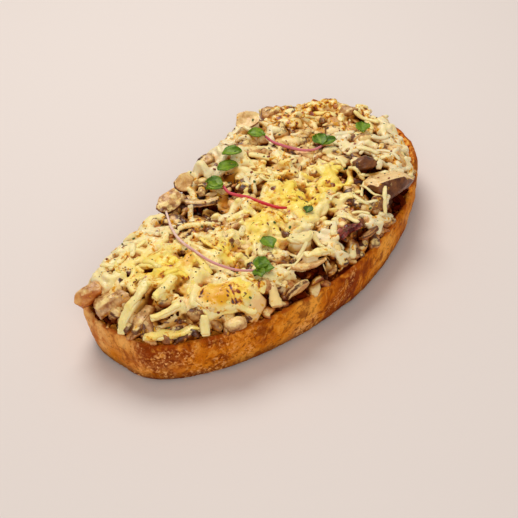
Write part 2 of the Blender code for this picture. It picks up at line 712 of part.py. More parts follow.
def leaf_at(root, heading, length, tilt, seed):
    """A leaflet that starts at its root and rises by tilt towards its tip, both in degrees."""
    points, faces = leaf_body(length, seed)
    turn = Matrix.Rotation(math.radians(heading), 3, "Z")
    turn = turn @ Matrix.Rotation(-math.radians(tilt), 3, "Y")
    return [root + turn @ p for p in points], faces


def clear_leaf(root, heading, length, seed, trees):
    """The leaflet at the lowest rise and tilt at which it crosses nothing."""
    for rise, tilt in ((0.3 * step, tilt) for step in range(20) for tilt in range(4, 60, 8)):
        points, faces = leaf_at(root + Vector((0, 0, rise)), heading, length, tilt, seed)
        body = BVHTree.FromPolygons([p - Vector((0, 0, GAP)) for p in points], faces)
        if not any(body.overlap(tree) for tree in trees):
            break
    return points, faces


def make_sprigs(trees):
    for number, (name, spec, radius, route, leaflets) in enumerate(SPRIGS):
        points = stem_points(route, radius, trees)
        leaves = []
        for k, (end, heading, length) in enumerate(leaflets):
            tip, before = (points[0], points[1]) if end == "start" else (points[-1], points[-2])
            root = tip + (before - tip).normalized() * LEAF_ROOT
            body = clear_leaf(root, heading, length, 3 * number + k, trees)
            leaves.append(mesh_object(f"{name}_leaf_{k}", *body, LEAF))
        sprig = mesh_object(name, *tube(points, radius), spec)
        combine(sprig, leaves, "UNION")
    for number, (name, x, y, heading, length) in enumerate(LONE_LEAVES):
        root = Vector((x, y, top_below(trees, x, y) + LEAF_THICKNESS))
        mesh_object(name, *clear_leaf(root, heading, length, number + 20, trees), LEAF)


# ---------------------------------------------------------------- assembly


def main():
    for obj in list(bpy.data.objects):
        bpy.data.objects.remove(obj)
    make_bread()
    guard = bread_guard()

    pieces = larger_pieces()
    core = make_core()
    pockets = []
    blocked = [guard]
    for name, spec, (points, faces) in pieces:
        mesh_object(name, points, faces, spec)
        grown = inflated(points, faces, POCKET_GAP)
        pockets.append(mesh_object(f"pocket_{name}", grown, faces, spec))
        blocked.append(BVHTree.FromPolygons([Vector(p) for p in grown], faces))
    combine(core, pockets, "DIFFERENCE", HEAP_SOLVER)

    bits = []
    for points, faces in piece_bodies():
        body = BVHTree.FromPolygons([Vector(p) for p in points], faces)
        if any(body.overlap(tree) for tree in blocked):
            continue
        bits.append(mesh_object("bit", points, faces, TOPPING))
    combine(core, bits, "UNION", HEAP_SOLVER)

    trees = [tree_of(obj) for obj in bpy.context.scene.collection.objects]
    make_sprigs(trees)


main()
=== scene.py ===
"""Mushroom toast, dressed: toasted crust and crumb, chopped mushrooms, melted and grated cheese,
chilli and herb flecks, and microgreens. The frame's axes are kept: +X runs along the slice to its
far end, +Y to its back edge and +Z up. Sizes are in millimetres, and meshes are scaled to metres
when made. The outline and the heap's form repeat the formulas of the part's own source.
"""

import math
import random

import bmesh
import bpy
import numpy as np
from mathutils import Matrix, Vector, noise
from mathutils.bvhtree import BVHTree
from mathutils.kdtree import KDTree


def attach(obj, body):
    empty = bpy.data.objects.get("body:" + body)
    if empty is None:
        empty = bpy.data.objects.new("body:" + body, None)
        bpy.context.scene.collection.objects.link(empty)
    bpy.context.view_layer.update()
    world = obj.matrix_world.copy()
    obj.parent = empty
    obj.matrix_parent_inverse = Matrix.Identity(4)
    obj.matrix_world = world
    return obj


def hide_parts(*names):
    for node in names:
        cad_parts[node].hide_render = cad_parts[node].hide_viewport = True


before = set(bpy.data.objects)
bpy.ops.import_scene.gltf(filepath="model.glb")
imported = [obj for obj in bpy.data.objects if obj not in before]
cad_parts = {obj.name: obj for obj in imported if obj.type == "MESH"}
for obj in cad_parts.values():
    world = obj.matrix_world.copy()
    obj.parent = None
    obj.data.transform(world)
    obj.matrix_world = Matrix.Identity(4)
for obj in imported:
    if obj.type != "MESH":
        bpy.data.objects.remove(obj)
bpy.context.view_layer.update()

MM = 0.001
WHOLE_TURN = 6.28  # for random headings

# Slice of bread and bare heap, as in the part's source
HALF_LENGTH = 107.7
HALF_WIDTH = 50.8
TAPER = 0.054
NEAR_POWER, FAR_POWER = 1.89, 2.06
CORNER_POWER = 2.3
FAR_CORNER_POWER = 0.9
SWELL, SWELL_X, SWELL_REACH = 5.5, 38.0, 45.0
BOW, BOW_MIDDLE = 6.0, 0.28
RIM_Z = 24.0
CRUMB_Z = 23.0
RIM_WAVE, RIM_WAVE_SPAN, RIM_WAVE_LEVEL = 0.5, 17.0, 7.0
CRUST_RELIEF, CRUST_RELIEF_SPAN = 0.55, 9.0
OUTLINE_STEPS = 1440
CRUST_PROFILE = (
    (6.6, 0.0), (4.6, 0.7), (3.2, 2.6), (2.0, 6.5), (0.8, 12.0), (0.0, 18.0), (0.0, 22.2),
    (0.5, 23.6), (1.3, RIM_Z), (2.3, 23.8), (3.3, CRUMB_Z),
)
END_TUCK = 0.85
FRONT_INSET, BACK_INSET = 3.6, 3.6
FRONT_SHOULDER, BACK_SHOULDER = 8.0, 6.0
FRONT_HEIGHT, BACK_HEIGHT = 10.5, 12.5
SIDE_BLEND = 15.0
BARE_END_START, BARE_END_RUN, BARE_END = 72.0, 28.0, 6.5
CROWN, CROWN_RUN = 3.5, 40.0
PILE, PILE_X, PILE_REACH = 8.0, 29.0, 31.0
PILE_START, PILE_FULL = 12.0, 34.0
LUMP_HEIGHT, LUMP_SPAN, LUMP_LEVEL = 2.4, 13.0, 3.0
HEAP_GAP = 0.35

# Bread surface
BREAD_SIDES = 1040
WALL_STEP, CRUMB_STEP = 0.48, 0.6  # between its rings, on the crust and on top
CRUMB_REACH = 17.0
WALL_FOOT, WALL_INSET = 0.3, 4.0  # the rings above and outside these have the crust's broad relief
TOP_INSET, TOP_RUN, TOP_Z = 1.2, 1.6, 22.0  # the top begins inside and above these
# Lighter and darker stretches of the crust: x, y, radius, how light
LIGHT = 3
CRUST_ZONES = (
    (-101.0, 28.0, 20.0, 1.3), (-109.0, 9.0, 7.0, 0.5), (-106.0, -5.0, 9.0, -1.0),
    (-96.0, -15.0, 12.0, -0.2), (-64.0, -35.0, 13.0, 1.2), (-43.0, -43.0, 12.0, 1.1),
    (-16.0, -48.0, 12.0, -0.5), (2.0, -50.0, 10.0, -0.1), (22.0, -51.0, 11.0, 0.9),
    (38.0, -50.0, 7.0, -0.3), (56.0, -45.0, 10.0, 0.3),
)

# Grid of heights that the toppings are laid by
GRID = 0.5
GRID_HALF_X, GRID_HALF_Y = 113.0, 61.0
EDGE_STEPS = 240  # of the outline, when distances to it are measured
OVERHANG = 3.0  # how far outside the slice its toppings are looked for
ABOVE_ALL = 90.0
HEAP_SLOPE_REACH, FLECK_SLOPE_REACH = 2.0, 0.7  # to each side, when slopes are measured
TAKEN_Z = CRUMB_Z + 1.0  # a place where the larger pieces rise above this is theirs

# Bed under the pieces, dark as painted shade in the gaps
BED_SIDES, BED_LEVELS = 360, 60
BED_DROP, BED_MARGIN, BED_ROOT = 4.8, 2.4, 0.6
BED_RELIEF, BED_RELIEF_SPAN = 1.3, 3.5
SPINE_SHARE, SPINE_WIDTH = 0.62, 0.05  # of the line that the bed's rings close in on

# Chopped mushrooms
CHOP_SEED = 11
CHOP_COUNT, CHOP_SIZES = 950, (12.0, 5.6)  # the size falls from first to last
CHOP_SPREAD, CHOP_REACH, CHOP_INSET = 0.47, 0.965, 0.5
FOOT_COUNT, FOOT_SIZES = 200, (4.6, 9.5)
FLANK_COUNT, FLANK_SIZES, FLANK_FROM_Y = 400, (4.8, 9.2), 6.0
CHOP_TONE = (0.66, 0.2)  # and its spread
DICE_SHARE, SKINNED_SHARE = 0.58, 0.55
CRESCENT_ROWS, CRESCENT_COLUMNS = 11, 5
# A piece with more than this share under the larger ones is sunk below them: how clear of them,
# how far at most, and the percentile of its points that has to be clear
HIDDEN_SHARE, SINK_GAP, SINK_MOST, SINK_RANK = 0.25, 0.3, 3.5, 85
# Knife cuts on a piece: how many, how deep as a share of its length, how flat
DICE_CUTS, LARGE_CUTS = (3, (0.08, 0.22), 0.94), (5, (0.05, 0.14), 0.92)

# Where the mushrooms show: x, y, radius, how bare of cheese and how dark the heap is
BARE, DARK = 3, 4
BARE_ZONES = (
    (48.0, -23.0, 16.0, 0.75, 0.25), (-8.0, -42.0, 12.0, 0.6, 0.05), (22.0, -40.0, 14.0, 0.6, 0.15),
    (-34.4, 10.0, 6.0, 1.1, 0.6), (-47.0, -20.0, 6.5, 0.9, 0.5), (-41.5, 26.5, 8.0, 0.9, 0.4),
    (-2.5, 17.5, 7.0, 0.9, 0.3), (-81.0, 24.0, 7.0, 0.8, 0.5), (-100.0, 0.0, 12.0, 0.6, 0.1),
    (-24.0, 38.0, 14.0, 0.6, 0.0), (62.0, 2.0, 13.0, 0.6, 0.1), (35.0, 20.0, 11.0, 0.8, 0.2),
    (-19.0, -19.0, 5.0, 0.9, 0.4), (-92.0, -12.0, 9.0, 0.6, 0.35), (45.0, -5.0, 8.0, 0.4, 0.0),
    (12.0, -32.0, 9.0, 0.5, 0.1), (-74.0, -32.0, 10.0, 0.7, 0.35), (52.0, 22.0, 8.0, 0.6, 0.1),
)
# Dark pieces that stay in sight: x, y, size
DARK_PIECES = (
    (-34.4, 10.0, 9.5), (-41.5, 26.5, 7.0), (-81.0, 24.0, 7.0), (-84.0, 20.5, 6.0), (-47.0, -20.0, 9.0),
    (-2.5, 16.5, 9.0), (19.5, -35.0, 8.0), (38.0, -25.0, 8.0), (-19.0, -19.0, 6.0), (33.0, 22.0, 8.0),
    (-96.0, -10.0, 7.0), (-90.0, -17.0, 7.0), (62.0, -22.0, 8.0), (8.0, -42.0, 7.0), (-33.0, -33.0, 6.0),
)
DARK_TONE, DARK_DEPTH = 0.05, 0.6

# Each larger mushroom piece: slot, tone, tan share, the direction its skin faces, and how squarely
# a place has to face that way to be skin
MUSHROOMS = {
    "mushroom_end_chunk": ("tan_mushroom", 0.62, 1.0, (-0.3, 0.7, -0.7), 0.5),
    "mushroom_end_mass": ("pale_mushroom", 0.5, 0.2, (0.7, -0.6, 0.1), 0.55),
    "mushroom_end_dark": ("brown_mushroom", 0.38, 0.2, (-0.5, -0.6, -0.2), 0.3),
    "mushroom_round": ("pale_mushroom", 0.55, 0.0, (0.0, 0.0, -1.0), 0.4),
    "mushroom_stem": ("pale_mushroom", 1.05, 0.0, (0.0, 0.0, -1.0), 0.8),
    "mushroom_fold": ("pale_mushroom", 0.8, 0.15, (0.0, 1.0, -0.4), 0.4),
    "mushroom_strip": ("tan_mushroom", 0.74, 0.4, (0.2, 0.5, -0.8), 0.5),
    "brown_slice": ("brown_mushroom", 0.35, 0.6, (0.0, -0.5, 0.6), 0.3),
    "mushroom_cap_piece": ("brown_mushroom", 0.84, 0.5, (-0.4, -0.85, -0.35), -0.12),
    "mushroom_dark": ("brown_mushroom", 0.12, 0.1, (-0.2, -0.4, 0.7), 0.1),
    "mushroom_slice_back": ("tan_mushroom", 0.38, 0.6, (0.3, -0.8, -0.5), 0.3),
    "mushroom_slice_tan": ("tan_mushroom", 0.74, 0.7, (0.9, -0.3, -0.3), 0.4),
    "mushroom_slice_edge": ("tan_mushroom", 0.66, 0.5, (-0.4, -0.4, -0.8), 0.2),
    "mushroom_curl": ("tan_mushroom", 0.7, 0.5, (-0.9, 0.3, 0.2), 0.45),
    "mushroom_grey_back": ("pale_mushroom", 0.5, 0.0, (0.0, 0.6, 0.2), 0.4),
    "mushroom_bump_back": ("pale_mushroom", 0.42, 0.3, (0.0, 0.6, 0.2), 0.4),
    "mushroom_bump_far": ("pale_mushroom", 0.45, 0.2, (0.3, 0.3, 0.2), 0.5),
}
CARVE_SEED = 60
# Slices with the groove of a gill line along them
GROOVED = ("mushroom_slice_edge", "brown_slice")
GROOVE_DEPTH, GROOVE_WIDTH = 0.8, 0.8
# Pieces with melted cheese on them, and how much
COATED = {
    "mushroom_stem": 1.3, "mushroom_end_mass": 0.5, "mushroom_slice_back": 0.5, "mushroom_fold": 0.7,
    "mushroom_round": 0.5, "mushroom_cap_piece": -0.4, "mushroom_dark": -0.4, "mushroom_end_chunk": -0.2,
    "brown_slice": -0.4,
}
OTHER_COAT = 0.15
SLAB_SHARE = 0.5  # a piece thinner than this share of its width is a slice
FINE_PITCH, SOFT_PITCH = 0.5, 0.45  # of their voxels
WELD_REACH = 0.00001  # in metres

# Each larger cheese piece: how yellow, how golden and how toasted it is
CHEESES = {
    "cheese_drape": (0.3, 0.0, -0.6),
    "cheese_strip_rim": (0.45, 0.15, 0.1),
    "cheese_drip": (0.25, 0.0, -0.8),
    "cheese_strip_mid": (0.3, 0.0, -0.3),
    "cheese_strip_upper": (0.35, 0.0, -0.1),
    "cheese_strip_front": (0.2, 0.0, 0.0),
    "cheese_fold": (0.1, 0.0, -0.6),
    "cheese_sheet": (0.8, 1.0, 0.15),
}
# Toasted lines on the sheet of cheese, from one place to another
SHEET_SCORCHES = (
    ((-66.0, -10.0), (-81.5, -13.5)), ((-67.7, -17.4), (-71.7, -26.1)), ((-66.0, -20.3), (-73.4, -30.9)),
)
SCORCH, SCORCH_WIDTH = 1.05, 0.5
UPRIGHT = 0.35  # the rim of a sheet faces up or down less than this

# Where the cheese is richer: x, y, radius, how thick, how yellow and how toasted it is
THICK, RICH, TOASTED = 3, 4, 5
CHEESE_ZONES = (
    (-20.0, -7.0, 16.0, 0.4, 0.8, 0.1), (5.0, -8.0, 18.0, 0.5, 1.0, 0.0),
    (28.0, -14.0, 16.0, 0.35, 0.9, 0.0), (-72.0, 12.0, 22.0, 0.4, 0.85, 0.15),
    (-62.0, -26.0, 17.0, 0.1, 0.6, 0.35), (18.0, 14.0, 14.0, 0.2, 0.5, 0.3),
    (80.0, 20.0, 22.0, 0.2, 0.45, 0.8), (-40.0, 16.0, 14.0, 0.0, 0.3, 0.6),
    (-15.0, 28.0, 8.0, 0.3, 0.9, 0.4), (-45.0, -5.0, 14.0, 0.2, 0.8, 0.2),
    (62.0, 35.0, 14.0, 0.1, 0.3, 0.5),
)
# Pools of cheese melted smooth and golden: x, y, radius
GOLD_POOLS = ((-13.5, 24.5, 7.5), (59.0, 15.0, 8.0), (2.0, 27.0, 4.5), (-60.0, 6.0, 4.5))
POOL_RISE = 1.2
COVER_BASE, COVER_SHOWN = 0.52, 0.30
STEEP, STEEPEST = 0.55, 1.3  # slopes between which the melted cheese runs off
FILM_THICKNESS = 1.7
# The film over the blurred topping: its rise by cover, from which cover on, and the most over it
FILM_BLUR, FILM_RISE, FILM_LEVEL, FILM_MOST = 1.5, 2.4, 0.62, 0.9
FILM_INSET, FILM_SUNK, KEPT_CLEAR = 0.6, 1.0, 0.4  # inside the foot, under the top and the kept pieces
# Skirt of film round the larger cheeses: how much lower, how wide, and where it joins them
SKIRT_DROP, SKIRT_REACH = 0.9, 1.5
SKIRT_NEAR, SKIRT_MOST, SKIRT_COVER = 0.12, 3.0, 0.6
MELT_PITCH, MELT_SHARE = 0.5, 0.37
MELT_SPREAD = 1.06  # how much wider the larger cheeses are where they melt into the film
# Each kind of shred: how long, how wide, how thick for its width, and how far it is lifted
SHREDS = {
    "melted": ((4.5, 15.0), (1.8, 3.3), (0.6, 0.85), (-0.9, 0.1)),
    "foot": ((4.0, 9.0), (1.6, 3.0), (0.6, 0.85), (-0.9, 0.1)),
    "whole": ((4.5, 15.0), (1.8, 3.3), (0.45, 0.65), (-0.5, 0.2)),
    "string": ((7.0, 16.0), (1.2, 2.3), (0.45, 0.65), (-0.5, 0.2)),
}
SOFT_WIDENING = 1.3
POOL_EDGE, BLOCKED_SHARE = 0.4, 0.35  # a shred lies outside the pools and the larger pieces
# Shreds: kind, how many, and the seed of their draw
MELTED_SHREDS, FOOT_SHREDS = ("melted", 360, 23), ("foot", 70, 29)
WHOLE_SHREDS, STRINGS = ("whole", 60, 31), ("string", 14, 37)
SHRED_SIDES, SHRED_STEPS = 8, 10
CURD_COUNT, CURD_SEED, CURD_INSET = 420, 41, 9.0
# Where the curds lie: x and its spread, y and its spread. Every fifth lies near the end
CURDS_MIDDLE, CURDS_NEAR_END = ((-1.0, 20.0), (-9.0, 11.0)), ((-72.0, 12.0), (10.0, 10.0))

# Microgreens
STEM_STEPS, STEM_SIDES, STEM_ROUNDS = 36, 10, 120
STEM_SOFTENING = (0.1, 0.2, 0.4, 0.2, 0.1)
STEM_END_STEPS, STEM_END_RISE = 6.0, 1.6  # its ends curl up
LEAF_ROWS, LEAF_COLUMNS, LEAF_THICKNESS = 15, 9, 0.36
# Shares of a leaflet's length: half its width and its stalk's, and how far its tip is rounded,
# its sides are cupped up, its edge waves, its tip droops and its middle vein is sunk
LEAF_HALF, STALK_HALF, LEAF_TIP = 0.43, 0.05, 0.08
LEAF_CUP, LEAF_WAVE, LEAF_DROOP, LEAF_VEIN = 0.13, 0.05, 0.10, 0.02
SPRIG_TILT, LONE_TILT = 14.0, 8.0

# A place is in a gap, and gets painted shade, by its depth below the smoothed topping, near and broad:
# how much it is blurred, how much lower it is at the heap's foot, from and to which depth, and how
# dark its painted shade is
GAPS = ((2.5, 1.3, (0.1, 2.7), 1.0), (6.0, 5.0, (0.5, 4.2), 0.75))

# How light spreads in the food: its reach in metres, and its share of red, green and blue
SUBSURFACE_SCALE, SUBSURFACE_RADIUS = 0.0015, (1.0, 0.6, 0.3)
LEAF_RADIUS = (0.4, 1.0, 0.2)

# Camera, as the photograph was taken
CAMERA_PLACE = (-450.0, -318.5, 425.8)
CAMERA_RIGHT = (0.56515, -0.82401, -0.04023)
CAMERA_UP = (0.52138, 0.31894, 0.79148)
CAMERA_BACK = (-0.63935, -0.46828, 0.60987)
LENS, SENSOR = 97.3, 36.0
CLIP_START, CLIP_END = 0.01, 20.0  # in metres

# Floor and light
FLOOR_REACH, FLOOR_Z = 4000.0, -0.2
WORLD_COLOUR, WORLD_STRENGTH = (1.0, 0.97, 0.94, 1.0), 0.39
LIGHT_COLOUR = (1.0, 0.97, 0.93)
# Each light: name, place, width and power
LIGHTS = (
    ("key", (220.0, 300.0, 760.0), 520.0, 4.2),
    ("fill", (-700.0, -560.0, 560.0), 600.0, 3.1),
)


# ---------------------------------------------------------------- small helpers


def mix(low, high, share):
    """From low at a share of 0 to high at 1."""
    return low + (high - low) * share


def smooth_step(value, low, high):
    """0 below low, 1 above high and a soft rise between."""
    t = np.clip((value - low) / (high - low), 0.0, 1.0)
    return t * t * (3.0 - 2.0 * t)


def noise_at(points, span, shift=0.0):
    """Smooth noise from -1 to 1 at each point, its lumps about one span wide."""
    scaled = np.asarray(points) / span + shift
    return np.array([noise.noise(p) for p in scaled.tolist()])


def patches(points, span, shift, low, high):
    """Soft patches about one span wide: 0 where the noise is below low, 1 above high."""
    return smooth_step(noise_at(points, span, shift), low, high)


def relief(points, *layers):
    """Layers of noise added up, each with its depth, span and shift."""
    return sum(depth * noise_at(points, span, shift) for depth, span, shift in layers)


def bell(x, y, zone):
    """1 in the middle of a zone, which starts with its x, y and radius, and less round it."""
    return np.exp(-(((x - zone[0]) ** 2 + (y - zone[1]) ** 2) / zone[2] ** 2))


def zone_sum(zones, x, y, column):
    """The zones' values of one column at a place, added up."""
    return sum(zone[column] * bell(x, y, zone) for zone in zones)


def zone_top(zones, x, y, column):
    """The zones' values of one column at a place, the strongest counting."""
    total = np.zeros(np.shape(x))
    for zone in zones:
        total = np.maximum(total, zone[column] * bell(x, y, zone))
    return total


def at_level(places, height):
    """Points at a height over places seen from above."""
    return np.concatenate([places, np.broadcast_to(height, len(places))[:, None]], 1)


def unit(vectors):
    """Each row scaled to a length of one."""
    return vectors / np.linalg.norm(vectors, axis=1, keepdims=True)


def path_axes(path):
    """The directions to the side of a path and up from it, at each of its points."""
    along = unit(np.gradient(path, axis=0))
    side = unit(np.cross([0.0, 0.0, 1.0], along))
    return side, np.cross(along, side)


def turned(angle):
    """A turn round Z as a matrix."""
    return Matrix.Rotation(angle, 3, "Z")


def search_tree(places):
    """A tree that finds the nearest of some places."""
    tree = KDTree(len(places))
    for number, place in enumerate(places.tolist()):
        tree.insert(place, number)
    tree.balance()
    return tree


def new_mesh(name, points, faces):
    """A smooth-shaded mesh in metres from points in millimetres and faces of one kind."""
    faces = np.asarray(faces, np.int32)
    mesh = bpy.data.meshes.new(name)
    mesh.vertices.add(len(points))
    mesh.vertices.foreach_set("co", (np.asarray(points) * MM).astype(np.float32).ravel())
    mesh.loops.add(faces.size)
    mesh.loops.foreach_set("vertex_index", faces.ravel())
    mesh.polygons.add(len(faces))
    mesh.polygons.foreach_set("loop_start", np.arange(0, faces.size, faces.shape[1], dtype=np.int32))
    mesh.update(calc_edges=True)
    mesh.shade_smooth()
    return mesh


def link(name, data):
    """A new object in the scene, of a mesh, a light or a camera."""
    thing = bpy.data.objects.new(name, data)
    bpy.context.scene.collection.objects.link(thing)
    return thing


def point_values(mesh, key):
    """Three numbers of each of a mesh's points: its place or its normal."""
    values = np.empty(len(mesh.vertices) * 3, np.float32)
    mesh.vertices.foreach_get(key, values)
    return values.reshape(-1, 3)


def set_value(mesh, key, value):
    """Holds a named value on each of a mesh's points."""
    layer = mesh.attributes.new(key, "FLOAT", "POINT")
    filled = np.broadcast_to(np.asarray(value, np.float32), len(mesh.vertices))
    layer.data.foreach_set("value", np.ascontiguousarray(filled))


def dress(name, body, material, slot, replaced=(), **values):
    """A piece on the toast: its body, its material and named values on its points."""
    mesh = new_mesh(name, *body)
    for key, value in values.items():
        set_value(mesh, key, value)
    mesh.materials.append(material)
    piece = link(name, mesh)
    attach(piece, "root")
    if replaced:
        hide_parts(*replaced)


def halves(a, b, c, d):
    """Two triangles for each face with the corners a, b, c and d."""
    return np.concatenate([np.stack([a, b, c], 1), np.stack([a, c, d], 1)])


def ring_faces(levels, sides):
    """Triangles between closed rings of points, one ring after another."""
    low = np.arange(levels - 1)[:, None] * sides
    here, beside = np.arange(sides)[None, :], (np.arange(sides)[None, :] + 1) % sides
    a, b = (low + here).ravel(), (low + beside).ravel()
    return halves(a, b, b + sides, a + sides)


def cap_faces(first, sides, pole, upward):
    """Triangles from a ring of points to one pole point."""
    here = first + np.arange(sides)
    beside = first + (np.arange(sides) + 1) % sides
    middle = np.full(sides, pole)
    return np.stack([here, beside, middle] if upward else [beside, here, middle], 1)


def closed_rings(rings):
    """Points and triangles of a body made of rings, with a pole closing each end."""
    levels, sides = rings.shape[:2]
    points = np.concatenate([rings.reshape(-1, 3), rings[[0, -1]].mean(1)])
    faces = [
        ring_faces(levels, sides),
        cap_faces(0, sides, levels * sides, False),
        cap_faces((levels - 1) * sides, sides, levels * sides + 1, True),
    ]
    return points, np.concatenate(faces)


def cell_corners(grid):
    """The four corners of each cell of a grid."""
    return grid[:-1, :-1], grid[1:, :-1], grid[1:, 1:], grid[:-1, 1:]


def sheet_faces(rows, columns):
    """Triangles of a closed thin body: an upper grid of points, then a lower one."""
    grid = np.arange(rows * columns).reshape(rows, columns)
    upper = halves(*(corner.ravel() for corner in cell_corners(grid)))
    under = rows * columns
    edge = np.concatenate([grid[0, :-1], grid[:-1, -1], grid[-1, :0:-1], grid[:0:-1, 0]])
    following = np.roll(edge, -1)
    side = halves(edge, following, following + under, edge + under)
    return np.concatenate([upper, upper[:, ::-1] + under, side])


# ---------------------------------------------------------------- materials


class Shade:
    """One material's node tree. Each call adds a node and returns its output."""

    def __init__(self, name, roughness=0.5, subsurface=0.0, gloss=0.3):
        self.material = bpy.data.materials.new(name)
        self.material.use_nodes = True
        self.nodes = self.material.node_tree.nodes
        self.links = self.material.node_tree.links
        self.shader = self.nodes["Principled BSDF"]
        self.shader.inputs["Roughness"].default_value = roughness
        self.shader.inputs["Subsurface Weight"].default_value = subsurface
        self.shader.inputs["Subsurface Radius"].default_value = SUBSURFACE_RADIUS
        self.shader.inputs["Subsurface Scale"].default_value = SUBSURFACE_SCALE
        self.shader.inputs["Specular IOR Level"].default_value = gloss
        self.place = self.nodes.new("ShaderNodeTexCoord").outputs["Object"]

    def feed(self, socket, value):
        """Links an output to a socket, or sets the socket to a value."""
        if isinstance(value, bpy.types.NodeSocket):
            self.links.new(value, socket)
        elif isinstance(value, tuple) and len(value) == 3 and socket.type == "RGBA":
            socket.default_value = (*value, 1.0)
        else:
            socket.default_value = value

    def noise(self, span, detail=3.0, rough=0.55, stretch=(1.0, 1.0, 1.0), shift=0.0, warp=0.0):
        """Noise from about 0.3 to 0.7 with lumps of a span in millimetres."""
        mapping = self.nodes.new("ShaderNodeMapping")
        self.links.new(self.place, mapping.inputs["Vector"])
        mapping.inputs["Scale"].default_value = [1.0 / (span * MM * s) for s in stretch]
        mapping.inputs["Location"].default_value = (shift, shift * 0.7, shift * 1.3)
        node = self.nodes.new("ShaderNodeTexNoise")
        self.links.new(mapping.outputs["Vector"], node.inputs["Vector"])
        node.inputs["Scale"].default_value = 1.0
        node.inputs["Detail"].default_value = detail
        node.inputs["Roughness"].default_value = rough
        node.inputs["Distortion"].default_value = warp
        return node.outputs["Fac"]

    def value(self, name):
        """A value held on the mesh's points."""
        node = self.nodes.new("ShaderNodeAttribute")
        node.attribute_name = name
        return node.outputs["Fac"]

    def ramp(self, factor, *stops):
        """Colours between stops of (place, colour)."""
        node = self.nodes.new("ShaderNodeValToRGB")
        self.links.new(factor, node.inputs["Fac"])
        while len(node.color_ramp.elements) < len(stops):
            node.color_ramp.elements.new(0.5)
        for element, (place, colour) in zip(node.color_ramp.elements, stops):
            element.position = place
            element.color = (*colour, 1.0)
        return node.outputs["Color"]

    def step(self, value, low, high):
        """0 below low and 1 above high, or the other way round where low is the larger."""
        node = self.nodes.new("ShaderNodeMapRange")
        node.interpolation_type = "SMOOTHSTEP"
        self.feed(node.inputs["Value"], value)
        node.inputs["From Min"].default_value = low
        node.inputs["From Max"].default_value = high
        return node.outputs["Result"]

    def times(self, a, b):
        return self.math("MULTIPLY", a, b)

    def plus(self, a, b):
        return self.math("ADD", a, b)

    def math(self, operation, a, b):
        node = self.nodes.new("ShaderNodeMath")
        node.operation = operation
        self.feed(node.inputs[0], a)
        self.feed(node.inputs[1], b)
        return node.outputs["Value"]

    def mix(self, factor, a, b, kind="MIX"):
        node = self.nodes.new("ShaderNodeMix")
        node.data_type = "RGBA"
        node.blend_type = kind
        self.feed(node.inputs["Factor"], factor)
        self.feed(node.inputs[6], a)
        self.feed(node.inputs[7], b)
        return node.outputs[2]

    def coat(self, colour, over, where, strength):
        """A colour with another one over it, as strong as given, where a value is 1."""
        return self.mix(where if strength == 1.0 else self.times(where, strength), colour, over)

    def height(self):
        """Height above the slice's base, in metres."""
        node = self.nodes.new("ShaderNodeSeparateXYZ")
        self.links.new(self.place, node.inputs["Vector"])
        return node.outputs["Z"]

    def facing_up(self):
        """1 where the surface faces up, 0 where it is upright, below 0 under it."""
        geometry = self.nodes.new("ShaderNodeNewGeometry")
        node = self.nodes.new("ShaderNodeSeparateXYZ")
        self.links.new(geometry.outputs["Normal"], node.inputs["Vector"])
        return node.outputs["Z"]

    def bump(self, height, depth, strength):
        """Relief of a depth in millimetres."""
        node = self.nodes.new("ShaderNodeBump")
        node.inputs["Strength"].default_value = strength
        node.inputs["Distance"].default_value = depth * MM
        self.links.new(height, node.inputs["Height"])
        self.links.new(node.outputs["Normal"], self.shader.inputs["Normal"])

    def finish(self, colour, roughness=None):
        self.feed(self.shader.inputs["Base Color"], colour)
        if roughness is not None:
            self.feed(self.shader.inputs["Roughness"], roughness)
        return self.material


def rgb(*channels):
    """A colour from its 0 to 255 screen values."""
    return tuple(c / 3294.6 if c <= 10.3 else ((c / 255 + 0.055) / 1.055) ** 2.4 for c in channels)


def grey(level):
    """A level as a colour."""
    return (level,) * 3


GOLDEN = rgb(218, 126, 16)
# Painted shade along the foot of the crust
PAINTED_FOOT_SHADE = rgb(92, 32, 0)
FLOURY = rgb(252, 186, 112)
CREAM = rgb(252, 230, 160)
MILKY = rgb(244, 226, 180)
YELLOW = rgb(255, 222, 84)
GOLD = rgb(234, 166, 0)
BROWNED = rgb(156, 64, 6)
DARK_BROWN = rgb(74, 24, 4)
# Painted shade on upright and downward faces
WARM_SHADE = rgb(228, 186, 120)
# Painted shade deep in the gaps between the pieces
GAP_SHADE_BROWN = rgb(94, 38, 10)
WET_GLOSS = 0.45
# How much a piece's own value counts beside the noise
TOAST_WEIGHT, LIGHT_WEIGHT, VEIL_WEIGHT = 0.22, 0.11, 0.16
# Height in metres of the painted shade along the crust's foot, and how much its edge wanders
FOOT_TOP, FOOT_LOW, FOOT_WAVE = 0.0045, -0.0035, -0.008


